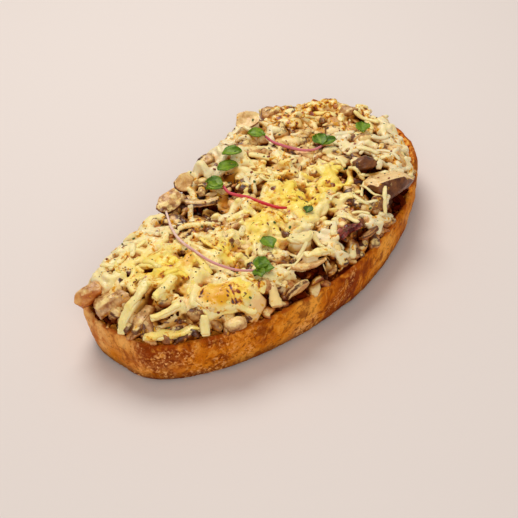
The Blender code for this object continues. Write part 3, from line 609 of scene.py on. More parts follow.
def crust_material():
    """Crust in golden, brown and floury stretches, and the toasted crumb on top."""
    shade = Shade("toasted_crust", gloss=0.06)
    broad = shade.plus(shade.noise(24.0, 3.0, 0.6, warp=0.4), shade.times(shade.value("light"), LIGHT_WEIGHT))
    middle = shade.noise(8.0, 4.0, 0.62, shift=15.0, warp=0.5)
    fine = shade.noise(3.4, 4.0, 0.65, stretch=(1.0, 1.0, 1.4))
    streak = shade.noise(4.0, 4.0, 0.6, stretch=(1.0, 1.0, 1.9), shift=11.0, warp=0.8)
    grain = shade.noise(1.5, 3.0, 0.65, shift=4.0)
    colour = shade.ramp(broad, (0.38, rgb(148, 60, 4)), (0.46, rgb(194, 100, 8)), (0.56, GOLDEN),
                        (0.66, rgb(246, 166, 60)))
    tan = shade.ramp(middle, (0.38, rgb(210, 116, 46)), (0.60, rgb(255, 194, 116)))
    low = shade.plus(shade.height(), shade.times(middle, FOOT_WAVE))
    rough = shade.times(shade.value("flour"), shade.step(fine, 0.38, 0.56))
    rim = shade.times(shade.value("rim"), shade.step(shade.noise(5.0, 3.0, shift=2.0), 0.42, 0.60))
    far_rim = shade.times(shade.value("rim"), shade.value("far"))
    # What lies over the ground colour: where, how strong and in which colour
    coats = (
        (shade.step(middle, 0.52, 0.66), 0.6, rgb(242, 152, 44)),  # light patches
        (shade.step(middle, 0.48, 0.36), 0.75, rgb(130, 50, 0)),  # dark patches
        # light ridges and dark cracks along the streaks: painted highlights on the ridges, painted shade in
        # the cracks
        (shade.step(streak, 0.54, 0.66), 0.45, rgb(250, 172, 70)),  # ridges
        (shade.step(streak, 0.45, 0.35), 0.55, rgb(116, 42, 0)),  # cracks
        (shade.value("tanned"), 1.0, tan),
        (shade.step(grain, 0.44, 0.34), 0.5, rgb(122, 46, 0)),  # specks
        # painted shade along the crust's foot
        (shade.step(low, FOOT_TOP, FOOT_LOW), 0.8, PAINTED_FOOT_SHADE),  # the dark foot
        (shade.times(rough, shade.step(grain, 0.51, 0.62)), 1.0, FLOURY),
        (shade.times(rough, shade.step(grain, 0.50, 0.40)), 0.8, rgb(112, 42, 4)),  # pits
        (rim, 0.8, rgb(172, 74, 8)),
        (shade.times(far_rim, shade.step(middle, 0.46, 0.56)), 0.85, rgb(96, 30, 4)),
    )
    for where, strength, over in coats:
        colour = shade.coat(colour, over, where, strength)
    crumb = shade.ramp(shade.noise(4.0, 4.0, 0.6, shift=6.0), (0.36, rgb(150, 60, 4)),
                       (0.45, rgb(222, 118, 18)), (0.58, rgb(252, 160, 54)))
    crumb = shade.mix(shade.value("scorched"), crumb, rgb(124, 34, 6))
    toasted = shade.ramp(shade.noise(3.4, 4.0, 0.6, shift=8.0), (0.38, rgb(112, 30, 4)),
                         (0.46, rgb(214, 108, 16)), (0.60, rgb(250, 186, 84)))
    crumb = shade.mix(shade.value("far"), crumb, toasted)
    colour = shade.mix(shade.value("crumb"), colour, crumb)
    shade.bump(shade.plus(shade.times(streak, 0.5), shade.times(grain, 0.3)), 0.6, 1.0)
    return shade.finish(colour, shade.ramp(fine, (0.3, grey(0.85)), (0.7, grey(0.55))))


def toasted_spots(shade, colour, shift):
    """Golden to dark brown spots over a colour, where the food's toast value allows them."""
    spots = shade.noise(3.6, 4.0, 0.62, shift=shift)
    level = shade.plus(spots, shade.times(shade.value("toast"), TOAST_WEIGHT))
    for low, high, over in ((0.56, 0.66, GOLD), (0.655, 0.72, BROWNED), (0.74, 0.80, DARK_BROWN)):
        colour = shade.mix(shade.step(level, low, high), colour, over)
    return colour


def in_gaps(shade, colour):
    """A colour with painted shade: warmer and darker on upright and downward faces, and dark brown and less
    glossy where it lies deep between the pieces.
    """
    deep = shade.value("deep")
    # painted shade on faces that are upright or face down
    side = shade.times(shade.step(shade.facing_up(), 0.4, -0.3), 0.6)
    colour = shade.mix(side, colour, WARM_SHADE, "MULTIPLY")
    # painted shade deep between the pieces, darkest where deepest
    gap_shade = shade.ramp(deep, (0.0, grey(1.0)), (0.4, rgb(216, 170, 100)), (1.0, GAP_SHADE_BROWN))
    wet = shade.times(shade.math("SUBTRACT", 1.0, deep), WET_GLOSS)
    shade.feed(shade.shader.inputs["Specular IOR Level"], wet)
    return shade.mix(1.0, colour, gap_shade, "MULTIPLY")


def cheese_material():
    """Milky to yellow and golden cheese with toasted spots."""
    shade = Shade("melted_cheese", roughness=0.32, subsurface=0.2, gloss=0.4)
    patch = shade.noise(6.0, 3.0)
    fine = shade.noise(1.8, 4.0, 0.6, shift=3.0)
    yellow = shade.plus(shade.value("yellow"), shade.math("SUBTRACT", patch, 0.5))
    colour = shade.mix(shade.step(yellow, 0.1, -0.4), CREAM, MILKY)
    colour = shade.mix(shade.step(yellow, 0.05, 0.9), colour, YELLOW)
    colour = shade.mix(shade.value("gold"), colour, GOLD)
    colour = toasted_spots(shade, colour, 0.0)
    shade.bump(fine, 0.5, 0.7)
    return shade.finish(in_gaps(shade, colour), shade.ramp(patch, (0.4, grey(0.24)), (0.6, grey(0.46))))


def mushroom_material():
    """Cooked mushroom: flesh from dark to pale, brown skin, and a veil of cheese on top."""
    shade = Shade("chopped_mushroom", roughness=0.32, subsurface=0.1, gloss=0.45)
    grain = shade.noise(2.4, 4.0, 0.62)
    unevenness = shade.times(shade.math("SUBTRACT", grain, 0.5), 1.1)
    tone = shade.plus(shade.value("tone"), unevenness)
    flesh = shade.ramp(tone, (0.0, rgb(60, 20, 4)), (0.25, rgb(112, 62, 24)), (0.45, rgb(164, 112, 58)),
                       (0.7, rgb(216, 170, 106)), (1.0, rgb(246, 214, 152)))
    tan = shade.ramp(tone, (0.0, rgb(84, 32, 4)), (0.45, rgb(190, 98, 30)), (1.0, rgb(238, 170, 88)))
    flesh = shade.mix(shade.value("tan"), flesh, tan)
    skin = shade.plus(shade.value("skin"), shade.times(unevenness, 0.4))
    brown = shade.ramp(shade.noise(5.0, 3.0, shift=3.0), (0.35, rgb(74, 30, 8)), (0.65, rgb(138, 82, 38)))
    colour = shade.mix(shade.step(skin, 0.3, 0.8), flesh, brown)
    veil = shade.noise(5.0, 4.0, 0.6, shift=5.0)
    up = shade.step(shade.facing_up(), 0.2, 0.8)
    thick = shade.plus(veil, shade.times(shade.value("veil"), VEIL_WEIGHT))
    colour = shade.mix(shade.times(shade.step(thick, 0.55, 0.66), up), colour, rgb(246, 214, 140))
    colour = toasted_spots(shade, colour, 7.0)
    shade.bump(grain, 0.5, 0.7)
    return shade.finish(in_gaps(shade, colour))


def plain_food(name, stops, span, roughness=0.4, subsurface=0.1, depth=0.15):
    """A material whose colours run between stops by noise of a span."""
    shade = Shade(name, roughness=roughness, subsurface=subsurface)
    pattern = shade.noise(span, 3.0, 0.6)
    shade.bump(pattern, depth, 0.5)
    return shade.finish(shade.ramp(pattern, *stops))


def stem_material(name, pale, strong):
    """Pale at the start of the stem, strong along it and streaked."""
    shade = Shade(name, roughness=0.35, subsurface=0.2)
    streak = shade.noise(1.4, 2.0, stretch=(1.0, 4.0, 1.0))
    along = shade.plus(shade.value("along"), shade.math("SUBTRACT", streak, 0.5))
    shade.bump(streak, 0.1, 0.4)
    return shade.finish(shade.mix(shade.step(along, 0.15, 0.75), pale, strong))


def leaf_material():
    """Green in soft patches, with lighter veins."""
    shade = Shade("leaf_green", roughness=0.42, subsurface=0.15)
    shade.shader.inputs["Subsurface Radius"].default_value = LEAF_RADIUS
    patch, vein = shade.noise(3.0, 3.0), shade.value("vein")
    green = shade.ramp(patch, (0.36, rgb(70, 104, 4)), (0.64, rgb(120, 148, 10)))
    green = shade.mix(shade.value("dark"), green, rgb(44, 74, 8))
    green = shade.coat(green, rgb(160, 190, 70), vein, 0.6)
    shade.bump(vein, 0.15, 0.5)
    return shade.finish(green)


# ---------------------------------------------------------------- outline and heights


def outline_loop():
    """The slice's outline from above, one point for each step of its angle."""
    t = np.linspace(0.0, 2.0 * math.pi, OUTLINE_STEPS, endpoint=False)
    c, s = np.cos(t), np.sin(t)
    power = mix(NEAR_POWER, FAR_POWER, np.clip(c, 0, 1))
    power += CORNER_POWER * 2.0 * np.clip(-c, 0, 1) * np.clip(s, 0, 1)
    power += FAR_CORNER_POWER * 2.0 * np.clip(c, 0, 1) * np.clip(s, 0, 1)
    u = HALF_LENGTH * np.sign(c) * np.abs(c) ** (2.0 / power)
    v = HALF_WIDTH * (1.0 + TAPER * u / HALF_LENGTH) * np.sign(s) * np.abs(s) ** (2.0 / power)
    v += BOW * ((u / HALF_LENGTH) ** 2 - BOW_MIDDLE)
    v += SWELL * np.clip(s, 0, 1) ** 2 * np.exp(-(((u - SWELL_X) / SWELL_REACH) ** 2))
    return np.stack([u, v], 1)


def outline(count):
    """The outline as evenly spaced points."""
    loop = outline_loop()
    steps = np.linalg.norm(np.roll(loop, -1, 0) - loop, axis=1)
    reach = np.concatenate([[0.0], np.cumsum(steps)])
    closed = np.concatenate([loop, loop[:1]])
    wanted = np.linspace(0.0, reach[-1], count, endpoint=False)
    return np.stack([np.interp(wanted, reach, closed[:, k]) for k in (0, 1)], 1)


def outward(loop):
    """Directions out of a closed line of points."""
    along = np.roll(loop, -1, 0) - np.roll(loop, 1, 0)
    return unit(np.stack([along[:, 1], -along[:, 0]], 1))


class Terrain:
    """Heights over the slice on an even grid, with what is worked out from them."""

    def __init__(self):
        self.xs = np.arange(-GRID_HALF_X, GRID_HALF_X + GRID, GRID)
        self.ys = np.arange(-GRID_HALF_Y, GRID_HALF_Y + GRID, GRID)
        self.x, self.y = np.meshgrid(self.xs, self.ys, indexing="ij")
        self.depth = self.edge_distance()
        self.inset = self.foot_inset()
        self.heap = self.heap_top()

    def edge_distance(self):
        """Distance of each grid point to the outline, negative outside it."""
        edge = outline(EDGE_STEPS)
        step = np.roll(edge, -1, 0) - edge
        best = np.full(self.x.shape, 1e9)
        sign = np.ones(self.x.shape)
        for p, d in zip(edge, step):
            off_x, off_y = self.x - p[0], self.y - p[1]
            t = np.clip((off_x * d[0] + off_y * d[1]) / (d @ d), 0, 1)
            away = np.hypot(off_x - t * d[0], off_y - t * d[1])
            nearer = away < best
            best[nearer] = away[nearer]
            sign[nearer] = np.where(d[0] * off_y - d[1] * off_x > 0, 1.0, -1.0)[nearer]
        return best * sign

    def back_share(self):
        """0 toward the front edge, 1 toward the back edge."""
        return 0.5 + 0.5 * np.tanh(self.y / SIDE_BLEND)

    def foot_inset(self):
        """How far inside the outline the heap's foot lies."""
        bare = np.clip((self.x - BARE_END_START) / BARE_END_RUN, 0, 1)
        return mix(FRONT_INSET, BACK_INSET, self.back_share()) + BARE_END * bare

    def heap_top(self):
        """Height of the bare heap."""
        back = self.back_share()
        depth = self.depth - self.inset
        rise = np.clip(depth / mix(FRONT_SHOULDER, BACK_SHOULDER, back), 0, 1)
        lump = LUMP_HEIGHT * self.noise(LUMP_SPAN, LUMP_LEVEL)
        height = mix(FRONT_HEIGHT, BACK_HEIGHT, back) + lump
        share = np.clip((self.y - PILE_START) / (PILE_FULL - PILE_START), 0, 1)
        height += PILE * share * np.exp(-(((self.x - PILE_X) / PILE_REACH) ** 2))
        crown = CROWN * np.clip(depth / CROWN_RUN, 0, 1)
        return CRUMB_Z + HEAP_GAP + height * np.sqrt(1.0 - (1.0 - rise) ** 2) + crown

    def noise(self, span, level):
        """Smooth noise over the grid, at a level that makes each one differ."""
        points = np.stack([self.x, self.y, np.full(self.x.shape, level)], 2).reshape(-1, 3)
        return noise_at(points, span).reshape(self.x.shape)

    def relief(self, *layers):
        """Layers of noise added up, each with its depth, span and level."""
        return sum(depth * self.noise(span, level) for depth, span, level in layers)

    def at(self, grid, x, y):
        """A grid's values between its points."""
        i = np.clip((np.asarray(x) + GRID_HALF_X) / GRID, 0, len(self.xs) - 1.001)
        j = np.clip((np.asarray(y) + GRID_HALF_Y) / GRID, 0, len(self.ys) - 1.001)
        i0, j0 = i.astype(int), j.astype(int)
        u, v = i - i0, j - j0
        low = grid[i0, j0] * (1 - u) + grid[i0 + 1, j0] * u
        high = grid[i0, j0 + 1] * (1 - u) + grid[i0 + 1, j0 + 1] * u
        return low * (1 - v) + high * v

    def height(self, x, y):
        """Height of the bare heap at a place."""
        return float(self.at(self.heap, x, y))

    def inside(self, x, y):
        """How far inside the heap's foot a place lies."""
        return self.at(self.depth, x, y) - self.at(self.inset, x, y)

    def normal(self, grid, x, y, reach):
        """Direction out of a surface at a place, by its slope over a reach to each side."""
        slope_x = self.at(grid, x + reach, y) - self.at(grid, x - reach, y)
        slope_y = self.at(grid, x, y + reach) - self.at(grid, x, y - reach)
        return Vector((-slope_x, -slope_y, 2 * reach)).normalized()

    def blur(self, grid, reach):
        """The grid smoothed over a reach in millimetres."""
        steps = np.arange(-round(3 * reach / GRID), round(3 * reach / GRID) + 1) * GRID
        weights = np.exp(-((steps / reach) ** 2) / 2)
        weights /= weights.sum()
        half = len(weights) // 2
        for axis in (0, 1):
            padded = np.pad(grid, [(half, half) if k == axis else (0, 0) for k in (0, 1)], "edge")
            length = grid.shape[axis]
            parts = [w * np.take(padded, range(k, k + length), axis) for k, w in enumerate(weights)]
            grid = np.sum(parts, 0)
        return grid

    def top_of(self, bodies):
        """Height of the topmost surface of some bodies over each grid point."""
        points, faces = joined(bodies)
        tree = BVHTree.FromPolygons(points.tolist(), faces.tolist(), all_triangles=True)
        top = np.full(self.x.shape, CRUMB_Z)
        down = Vector((0.0, 0.0, -1.0))
        for i, j in zip(*np.nonzero(self.depth > -OVERHANG)):
            hit = tree.ray_cast(Vector((self.xs[i], self.ys[j], ABOVE_ALL)), down)[0]
            if hit:
                top[i, j] = hit.z
        return top


# ---------------------------------------------------------------- bread


def bread_profile():
    """Inset and height of each ring of the slice, from its foot up, and then in over its top."""
    corners = np.array(CRUST_PROFILE)
    reach = np.concatenate([[0.0], np.cumsum(np.linalg.norm(np.diff(corners, axis=0), axis=1))])
    wall = np.linspace(0.0, reach[-1], int(reach[-1] / WALL_STEP))
    rings = np.stack([np.interp(wall, reach, corners[:, k]) for k in (0, 1)], 1)
    inner = np.arange(corners[-1, 0] + CRUMB_STEP, CRUMB_REACH, CRUMB_STEP)
    return np.concatenate([rings, np.stack([inner, np.full(len(inner), CRUMB_Z)], 1)])


def floury(points):
    """1 where the crust is rough and floury, 0 where it is smooth."""
    near = smooth_step(-points[:, 0], 50.0, 92.0) * smooth_step(-points[:, 1], -15.0, 8.0)
    spots = patches(points, 14.0, 2.0, 0.22, 0.45) * smooth_step(-points[:, 0], -60.0, 60.0)
    return np.clip(0.8 * near * patches(points, 9.0, 4.0, -0.45, 0.1) + spots, 0, 1)


def crust_ring(loop, normal, inset, height):
    """One ring of the slice, with the crust's broad relief and the rim's waves."""
    tuck = inset * (mix(END_TUCK, 1.0, np.abs(normal[:, 1])) if height < RIM_Z / 2 else 1.0)
    on_wall = WALL_FOOT < height and inset < WALL_INSET
    out = CRUST_RELIEF * noise_at(at_level(loop, height * 2.0), CRUST_RELIEF_SPAN) * on_wall - tuck
    near_rim = smooth_step(height, 14.0, 24.0) * smooth_step(-inset, -3.4, -2.0)
    wave = RIM_WAVE * noise_at(at_level(loop, RIM_WAVE_LEVEL), RIM_WAVE_SPAN) * near_rim
    return at_level(loop + normal * out[:, None], height + wave)


def crust_lift(points, flat):
    """How far the blisters and pits of the crust, and the holes of the crumb, lift each point."""
    rough = floury(points)
    bumps = relief(points, (0.5, 9.0, 3.0)) + relief(points * [1, 1, 0.6], (0.22, 3.4, 8.0))
    bumps += (0.1 + 0.26 * rough) * noise_at(points, 1.5, 6.0)
    pits = -0.7 * (0.25 + 0.75 * rough) * patches(points, 3.0, 21.0, 0.38, 0.65)
    holes = -1.1 * patches(points, 3.0, 14.0, 0.25, 0.55) + 0.55 * noise_at(points, 4.6, 5.0)
    return (bumps + pits) * (1 - flat) + (bumps + holes) * flat


def crust_values(points, insets, flat):
    """What the crust's material asks for at each point, each but light from 0 to 1."""
    x, y, height = points.T
    crumb = smooth_step(flat, 0.15, 0.6)
    front = smooth_step(-y, 8.0, 26.0) * smooth_step(x, -72.0, -40.0) * smooth_step(-x, -62.0, -44.0)
    tanned = smooth_step(-x, 72.0, 100.0) * patches(points, 16.0, 9.0, -0.7, 0.2)
    tanned *= smooth_step(y, -4.0, 14.0)
    tanned = np.clip(0.9 * tanned + 0.5 * patches(points, 19.0, 31.0, 0.25, 0.6), 0, 1)
    return {
        "crumb": crumb,
        "rim": smooth_step(height, 22.3, 23.8) * smooth_step(-insets, -3.2, -2.0),
        "flour": floury(points) * (1 - crumb),
        "scorched": front * patches(points, 8.0, 12.0, -0.9, -0.1),
        "far": smooth_step(x, 60.0, 85.0),
        "tanned": tanned * (1 - crumb),
        "light": zone_sum(CRUST_ZONES, x, y, LIGHT),
    }


def make_bread():
    """The slice of bread, from rings round its wall and over its top."""
    loop = outline(BREAD_SIDES)
    normal = outward(loop)
    profile = bread_profile()
    rings = np.array([crust_ring(loop, normal, inset, height) for inset, height in profile])
    flat_part = np.clip((profile[:, 0] - TOP_INSET) / TOP_RUN, 0, 1) * (profile[:, 1] > TOP_Z)
    upward = flat_part[:, None, None]
    direction = at_level(normal, 0.0)[None] * (1 - upward) + np.array([0.0, 0.0, 1.0]) * upward
    flat = np.repeat(flat_part, len(loop))
    lift = crust_lift(rings.reshape(-1, 3), flat)
    lift *= np.repeat(smooth_step(profile[:, 1], 0.2, 1.2), len(loop))
    rings = rings + direction * lift.reshape(len(profile), len(loop), 1)
    rings[..., 2] = np.maximum(rings[..., 2], 0.0)
    points, faces = closed_rings(rings)
    insets = np.append(np.repeat(profile[:, 0], len(loop)), [0.0, 0.0])
    values = crust_values(points, insets, np.append(flat, [0.0, 1.0]))
    dress("bread_slice", (points, faces), crust_material(), "crust", ("bread",), **values)


# ---------------------------------------------------------------- chopped mushrooms


class Gathered:
    """Many small bodies gathered into one mesh, with named values on their points."""

    def __init__(self):
        self.points, self.faces, self.values, self.count = [], [], {}, 0

    def add(self, points, faces, **values):
        """One more body, with a named value or values on its points."""
        self.points.append(points)
        self.faces.append(faces + self.count)
        self.count += len(points)
        for key, value in values.items():
            filled = np.broadcast_to(np.asarray(value, float), len(points))
            self.values.setdefault(key, []).append(filled)

    def body(self):
        """All the points and all the triangles."""
        return np.concatenate(self.points), np.concatenate(self.faces)

    def dress(self, name, material, slot):
        """Makes one piece of all the bodies."""
        values = {key: np.concatenate(parts) for key, parts in self.values.items()}
        dress(name, self.body(), material, slot, **values)


def joined(bodies):
    """All the points and all the triangles of some bodies."""
    gathered = Gathered()
    for points, faces in bodies:
        gathered.add(points, faces)
    return gathered.body()


def rounded_box(cuts, power):
    """Points and triangles of a box with rounded corners, two units across."""
    body = bmesh.new()
    bmesh.ops.create_cube(body, size=2.0)
    bmesh.ops.subdivide_edges(body, edges=body.edges, cuts=cuts, use_grid_fill=True)
    bmesh.ops.triangulate(body, faces=body.faces)
    points = np.array([v.co for v in body.verts])
    faces = np.array([[v.index for v in f.verts] for f in body.faces])
    body.free()
    directions = unit(points)
    reach = (np.abs(directions) ** power).sum(1) ** (-1.0 / power)
    return directions * reach[:, None], faces


def knife(points, draw, cuts, reach, flatness, thin=None):
    """Points with flat faces cut off them, and which of the points lie on a cut face.

    A slice is cut square to its face: thin is the direction of its thickness.
    """
    points = points.copy()
    cut = np.zeros(len(points))
    for _ in range(cuts):
        facing = np.array([draw.gauss(0, 1) for _ in range(3)])
        if thin is not None:
            facing -= thin * (facing @ thin)
        facing /= np.linalg.norm(facing)
        along = points @ facing
        limit = along.max() - draw.uniform(*reach) * np.ptp(along)
        beyond = along > limit
        points[beyond] -= facing * (along - limit)[beyond, None] * flatness
        cut[beyond] = 1.0
    return points, cut


def diced(draw, seed, box):
    """An uneven chopped piece: knife-cut faces, and skin on one side of some pieces."""
    points, faces = box
    points = points * (1.0 + 0.36 * noise_at(points, 1.0, seed * 3.7))[:, None]
    skin = smooth_step(points[:, 2], 0.3, 0.6) * (draw.random() < SKINNED_SHARE)
    points, cut = knife(points, draw, *DICE_CUTS)
    return points, faces, skin * (1.0 - cut), cut


def crescent(draw, seed):
    """A piece of a cap's slice: an arc of flesh with skin along its outer edge."""
    arc = draw.uniform(1.1, 2.4)
    width = draw.uniform(0.55, 0.95)
    turn = np.linspace(-arc / 2, arc / 2, CRESCENT_ROWS)[:, None]
    across = np.linspace(0.0, 1.0, CRESCENT_COLUMNS)[None, :]
    radius = 1.25 - width * (1.0 - 0.35 * np.abs(turn / arc * 2) ** 2) * across
    x = np.sin(turn) * radius
    y = np.cos(turn) * radius - 0.9
    flat = np.stack([x, y, np.zeros(x.shape)], 2).reshape(-1, 3)
    warp = 0.4 * noise_at(flat, 0.8, seed * 1.9)
    flat[:, :2] *= 1.0 + 0.22 * noise_at(flat, 0.5, seed * 5.1)[:, None]
    thick = 1.0 + 0.4 * noise_at(flat, 0.6, seed * 2.3)
    edge = np.minimum(np.minimum(across, 1 - across) * 4.0, 1.0) ** 0.5 * 0.55 + 0.45
    thick *= np.broadcast_to(edge, x.shape).ravel()
    points = np.concatenate([at_level(flat[:, :2], warp + side * thick * 0.5) for side in (1.0, -1.0)])
    skin = np.tile((across < 0.15).astype(float), (CRESCENT_ROWS, 1)).ravel()
    return points, sheet_faces(CRESCENT_ROWS, CRESCENT_COLUMNS), np.tile(skin, 2), np.zeros(len(points))


class Chopper:
    """Lays chopped pieces, each kind gathered into its own mesh, below what has to stay in sight."""

    def __init__(self, terrain, kept):
        self.terrain, self.kept = terrain, kept
        self.draw = random.Random(CHOP_SEED)
        self.box = rounded_box(3, 3.4)
        self.kinds = {"dice": Gathered(), "slices": Gathered()}
        self.number = 0

    def lay(self, x, y, height, size, normal, shade=None):
        """One piece at a place, facing along a normal, of a chosen shade or its own."""
        draw, terrain = self.draw, self.terrain
        self.number += 1
        lean = normal.to_track_quat("Z", "Y").to_matrix() @ turned(draw.uniform(-math.pi, math.pi))
        lean = lean @ Matrix.Rotation(draw.gauss(0.0, 0.5), 3, "X")
        kind = "dice" if draw.random() < DICE_SHARE else "slices"
        if kind == "dice":
            points, faces, skin, cut = diced(draw, self.number, self.box)
            half = [size * 0.5, size * draw.uniform(0.28, 0.42), size * draw.uniform(0.2, 0.36)]
        else:
            points, faces, skin, cut = crescent(draw, self.number)
            half = [size * 0.46, size * 0.46, draw.uniform(1.8, 3.0)]
        placed = (points * half) @ np.array(lean).T + [x, y, height]
        limit = terrain.at(self.kept, placed[:, 0], placed[:, 1])
        below = limit > TAKEN_Z
        if below.mean() > HIDDEN_SHARE:
            over = placed[below, 2] + SINK_GAP - limit[below]
            placed[:, 2] -= min(max(float(np.percentile(over, SINK_RANK)), 0.0), SINK_MOST)
        placed[:, 2] = np.maximum(placed[:, 2], CRUMB_Z + 0.1)
        dark = 0.9 * float(zone_sum(BARE_ZONES, x, y, DARK)) + 0.12 * noise.noise(Vector((x / 9, y / 9, 4.0)))
        tone = min(max(draw.gauss(*CHOP_TONE) - dark, 0.02), 1.0) if shade is None else shade
        tan = draw.random() ** 2 * 0.8
        self.kinds[kind].add(placed, faces, tone=tone + 0.1 * cut, skin=skin, tan=tan, veil=0.6 - dark,
                             toast=-0.15 + 0.3 * draw.random())

    def sink(self, x, y, depth, size):
        """One piece in the heap, at a depth below its surface."""
        height = self.terrain.height(x, y)
        normal = self.terrain.normal(self.terrain.heap, x, y, HEAP_SLOPE_REACH)
        self.lay(x - normal.x * depth, y - normal.y * depth, height - normal.z * depth, size, normal)


def chopped_pieces(terrain, kept):
    """The chopped mushrooms of the heap, the largest deepest, then small ones round its foot."""
    chopper = Chopper(terrain, kept)
    scatter(chopper)
    for x, y, size in DARK_PIECES:
        chopper.lay(x, y, terrain.height(x, y) - DARK_DEPTH, size, Vector((0.0, 0.0, 1.0)), DARK_TONE)
    ring_foot(chopper)
    clad_flank(chopper)
    return chopper.kinds


def scatter(chopper):
    """Pieces over the whole heap, evenly spread along a spiral and laid in a mixed order."""
    draw, terrain = chopper.draw, chopper.terrain
    golden_angle = math.pi * (3.0 - math.sqrt(5.0))
    loop = outline_loop()
    spots = [(((i + 0.5) / CHOP_COUNT) ** CHOP_SPREAD, i * golden_angle) for i in range(CHOP_COUNT)]
    draw.shuffle(spots)
    for number, (radius, turn) in enumerate(spots):
        p = loop[int(turn / (2 * math.pi) * OUTLINE_STEPS) % OUTLINE_STEPS] * radius * CHOP_REACH
        x, y = p[0] + draw.uniform(-2, 2), p[1] + draw.uniform(-2, 2)
        if terrain.inside(x, y) < CHOP_INSET:
            continue
        late = number / CHOP_COUNT
        size = mix(*CHOP_SIZES, late ** 0.7) * draw.uniform(0.75, 1.25)
        depth = draw.uniform(1.9, 4.8) * mix(1.0, 0.6, late)
        chopper.sink(x, y, depth, size)


def ring_foot(chopper):
    """Small pieces round the foot of the heap."""
    draw, terrain = chopper.draw, chopper.terrain
    foot = outline(FOOT_COUNT)
    for place, inward in zip(foot, -outward(foot)):
        reach = float(terrain.at(terrain.inset, *place)) + draw.uniform(-0.6, 3.4)
        x, y = place + inward * reach
        size = draw.uniform(*FOOT_SIZES)
        height = CRUMB_Z + size * draw.uniform(0.18, 0.32) + draw.uniform(0.0, 2.5) * (reach > 4.5)
        chopper.lay(x, y, height, size, Vector((*(inward * -0.6), 1.0)).normalized())


def clad_flank(chopper):
    """Pieces up the steep back of the heap, spread evenly over its height."""
    draw, terrain = chopper.draw, chopper.terrain
    edge = outline(FLANK_COUNT)
    for place, inward in zip(edge, -outward(edge)):
        if place[1] < FLANK_FROM_Y:
            continue
        level = draw.uniform(0.1, 0.97)
        reach = float(terrain.at(terrain.inset, *place)) + BACK_SHOULDER * (1 - math.sqrt(1 - level**2))
        x, y = place + inward * reach
        chopper.sink(x, y, draw.uniform(0.7, 2.2), draw.uniform(*FLANK_SIZES))


def make_core(terrain):
    """The bed that shows in the gaps between the pieces, dark as painted shade."""
    loop = outline(BED_SIDES)
    inset = terrain.at(terrain.inset, *(loop.T)) + BED_MARGIN
    edge = loop - outward(loop) * inset[:, None]
    shares = np.linspace(1.0, 0.03, BED_LEVELS)[:, None, None]
    spine = edge * [SPINE_SHARE, SPINE_WIDTH]
    rings = spine[None] + (edge - spine)[None] * shares
    height = terrain.at(terrain.heap, rings[..., 0], rings[..., 1]) - BED_DROP
    flat = np.concatenate([rings, np.zeros((*rings.shape[:2], 1))], 2).reshape(-1, 3)
    height += BED_RELIEF * noise_at(flat, BED_RELIEF_SPAN, 2.0).reshape(height.shape)
    rings = np.concatenate([rings, np.maximum(height, CRUMB_Z + 0.15)[..., None]], 2)
    base = rings[:1].copy()
    base[..., 2] = CRUMB_Z - BED_ROOT
    return closed_rings(np.concatenate([base, rings]))


# ---------------------------------------------------------------- larger pieces


def node_points(name):
    """A node's own points in millimetres, and its triangles."""
    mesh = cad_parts[name].data
    points = np.array([v.co for v in mesh.vertices]) / MM
    return points, np.array([p.vertices for p in mesh.polygons])


def fused(bodies, pitch, rounds, share=1.0):
    """Bodies joined into one skin on even voxels of a pitch in millimetres, and smoothed.

    Only a share of its triangles is kept, most of them where the skin bends. Returns its points,
    its triangles and the directions out of it.
    """
    rough = link("rough", new_mesh("rough", *joined(bodies)))
    rough.modifiers.new("joined", "WELD").merge_threshold = WELD_REACH
    voxels = rough.modifiers.new("voxels", "REMESH")
    voxels.mode = "VOXEL"
    voxels.voxel_size = pitch * MM
    rough.modifiers.new("smooth", "SMOOTH").iterations = rounds
    rough.modifiers.new("triangles", "TRIANGULATE")
    if share < 1.0:
        rough.modifiers.new("lighter", "DECIMATE").ratio = share
    graph = bpy.context.evaluated_depsgraph_get()
    mesh = bpy.data.meshes.new_from_object(rough.evaluated_get(graph))
    bpy.data.objects.remove(rough)
    points, normals = point_values(mesh, "co"), point_values(mesh, "normal")
    faces = np.empty(len(mesh.polygons) * 3, np.int32)
    mesh.polygons.foreach_get("vertices", faces)
    bpy.data.meshes.remove(mesh)
    return points / MM, faces.reshape(-1, 3), normals.astype(float)


def carved(name, number):
    """A mushroom piece's form with knife-cut faces, and its points' share of edge and of cut."""
    points, faces, normals = fused([node_points(name)], FINE_PITCH, 2)
    draw = random.Random(CARVE_SEED + number)
    centred = points - points.mean(0)
    spread, axes = np.linalg.eigh(centred.T @ centred / len(points))
    thin = axes[:, 0]
    slab = math.sqrt(spread[0] / spread[1]) < SLAB_SHARE
    points, cut = knife(points, draw, *LARGE_CUTS, thin if slab else None)
    fold = relief(points, (0.8, 9.0, number * 2.7), (0.35, 3.4, number * 4.1))
    fine = relief(points, (0.12, 1.2, number), (0.22, 2.1, number + 0.6))
    lift = fold * (1.0 - 0.7 * cut) * (0.6 if slab else 0.8) + fine
    edge = 1.0 - np.abs(normals @ thin) if slab else np.zeros(len(points))
    if name in GROOVED:
        across = centred @ axes[:, 1] + 1.2 * noise_at(points, 7.0, number + 0.3)
        groove = np.exp(-(((across - draw.uniform(-1.5, 1.5)) / GROOVE_WIDTH) ** 2))
        lift -= GROOVE_DEPTH * groove
        edge = np.maximum(edge, groove)
    return points + normals * lift[:, None], faces, normals, edge, cut


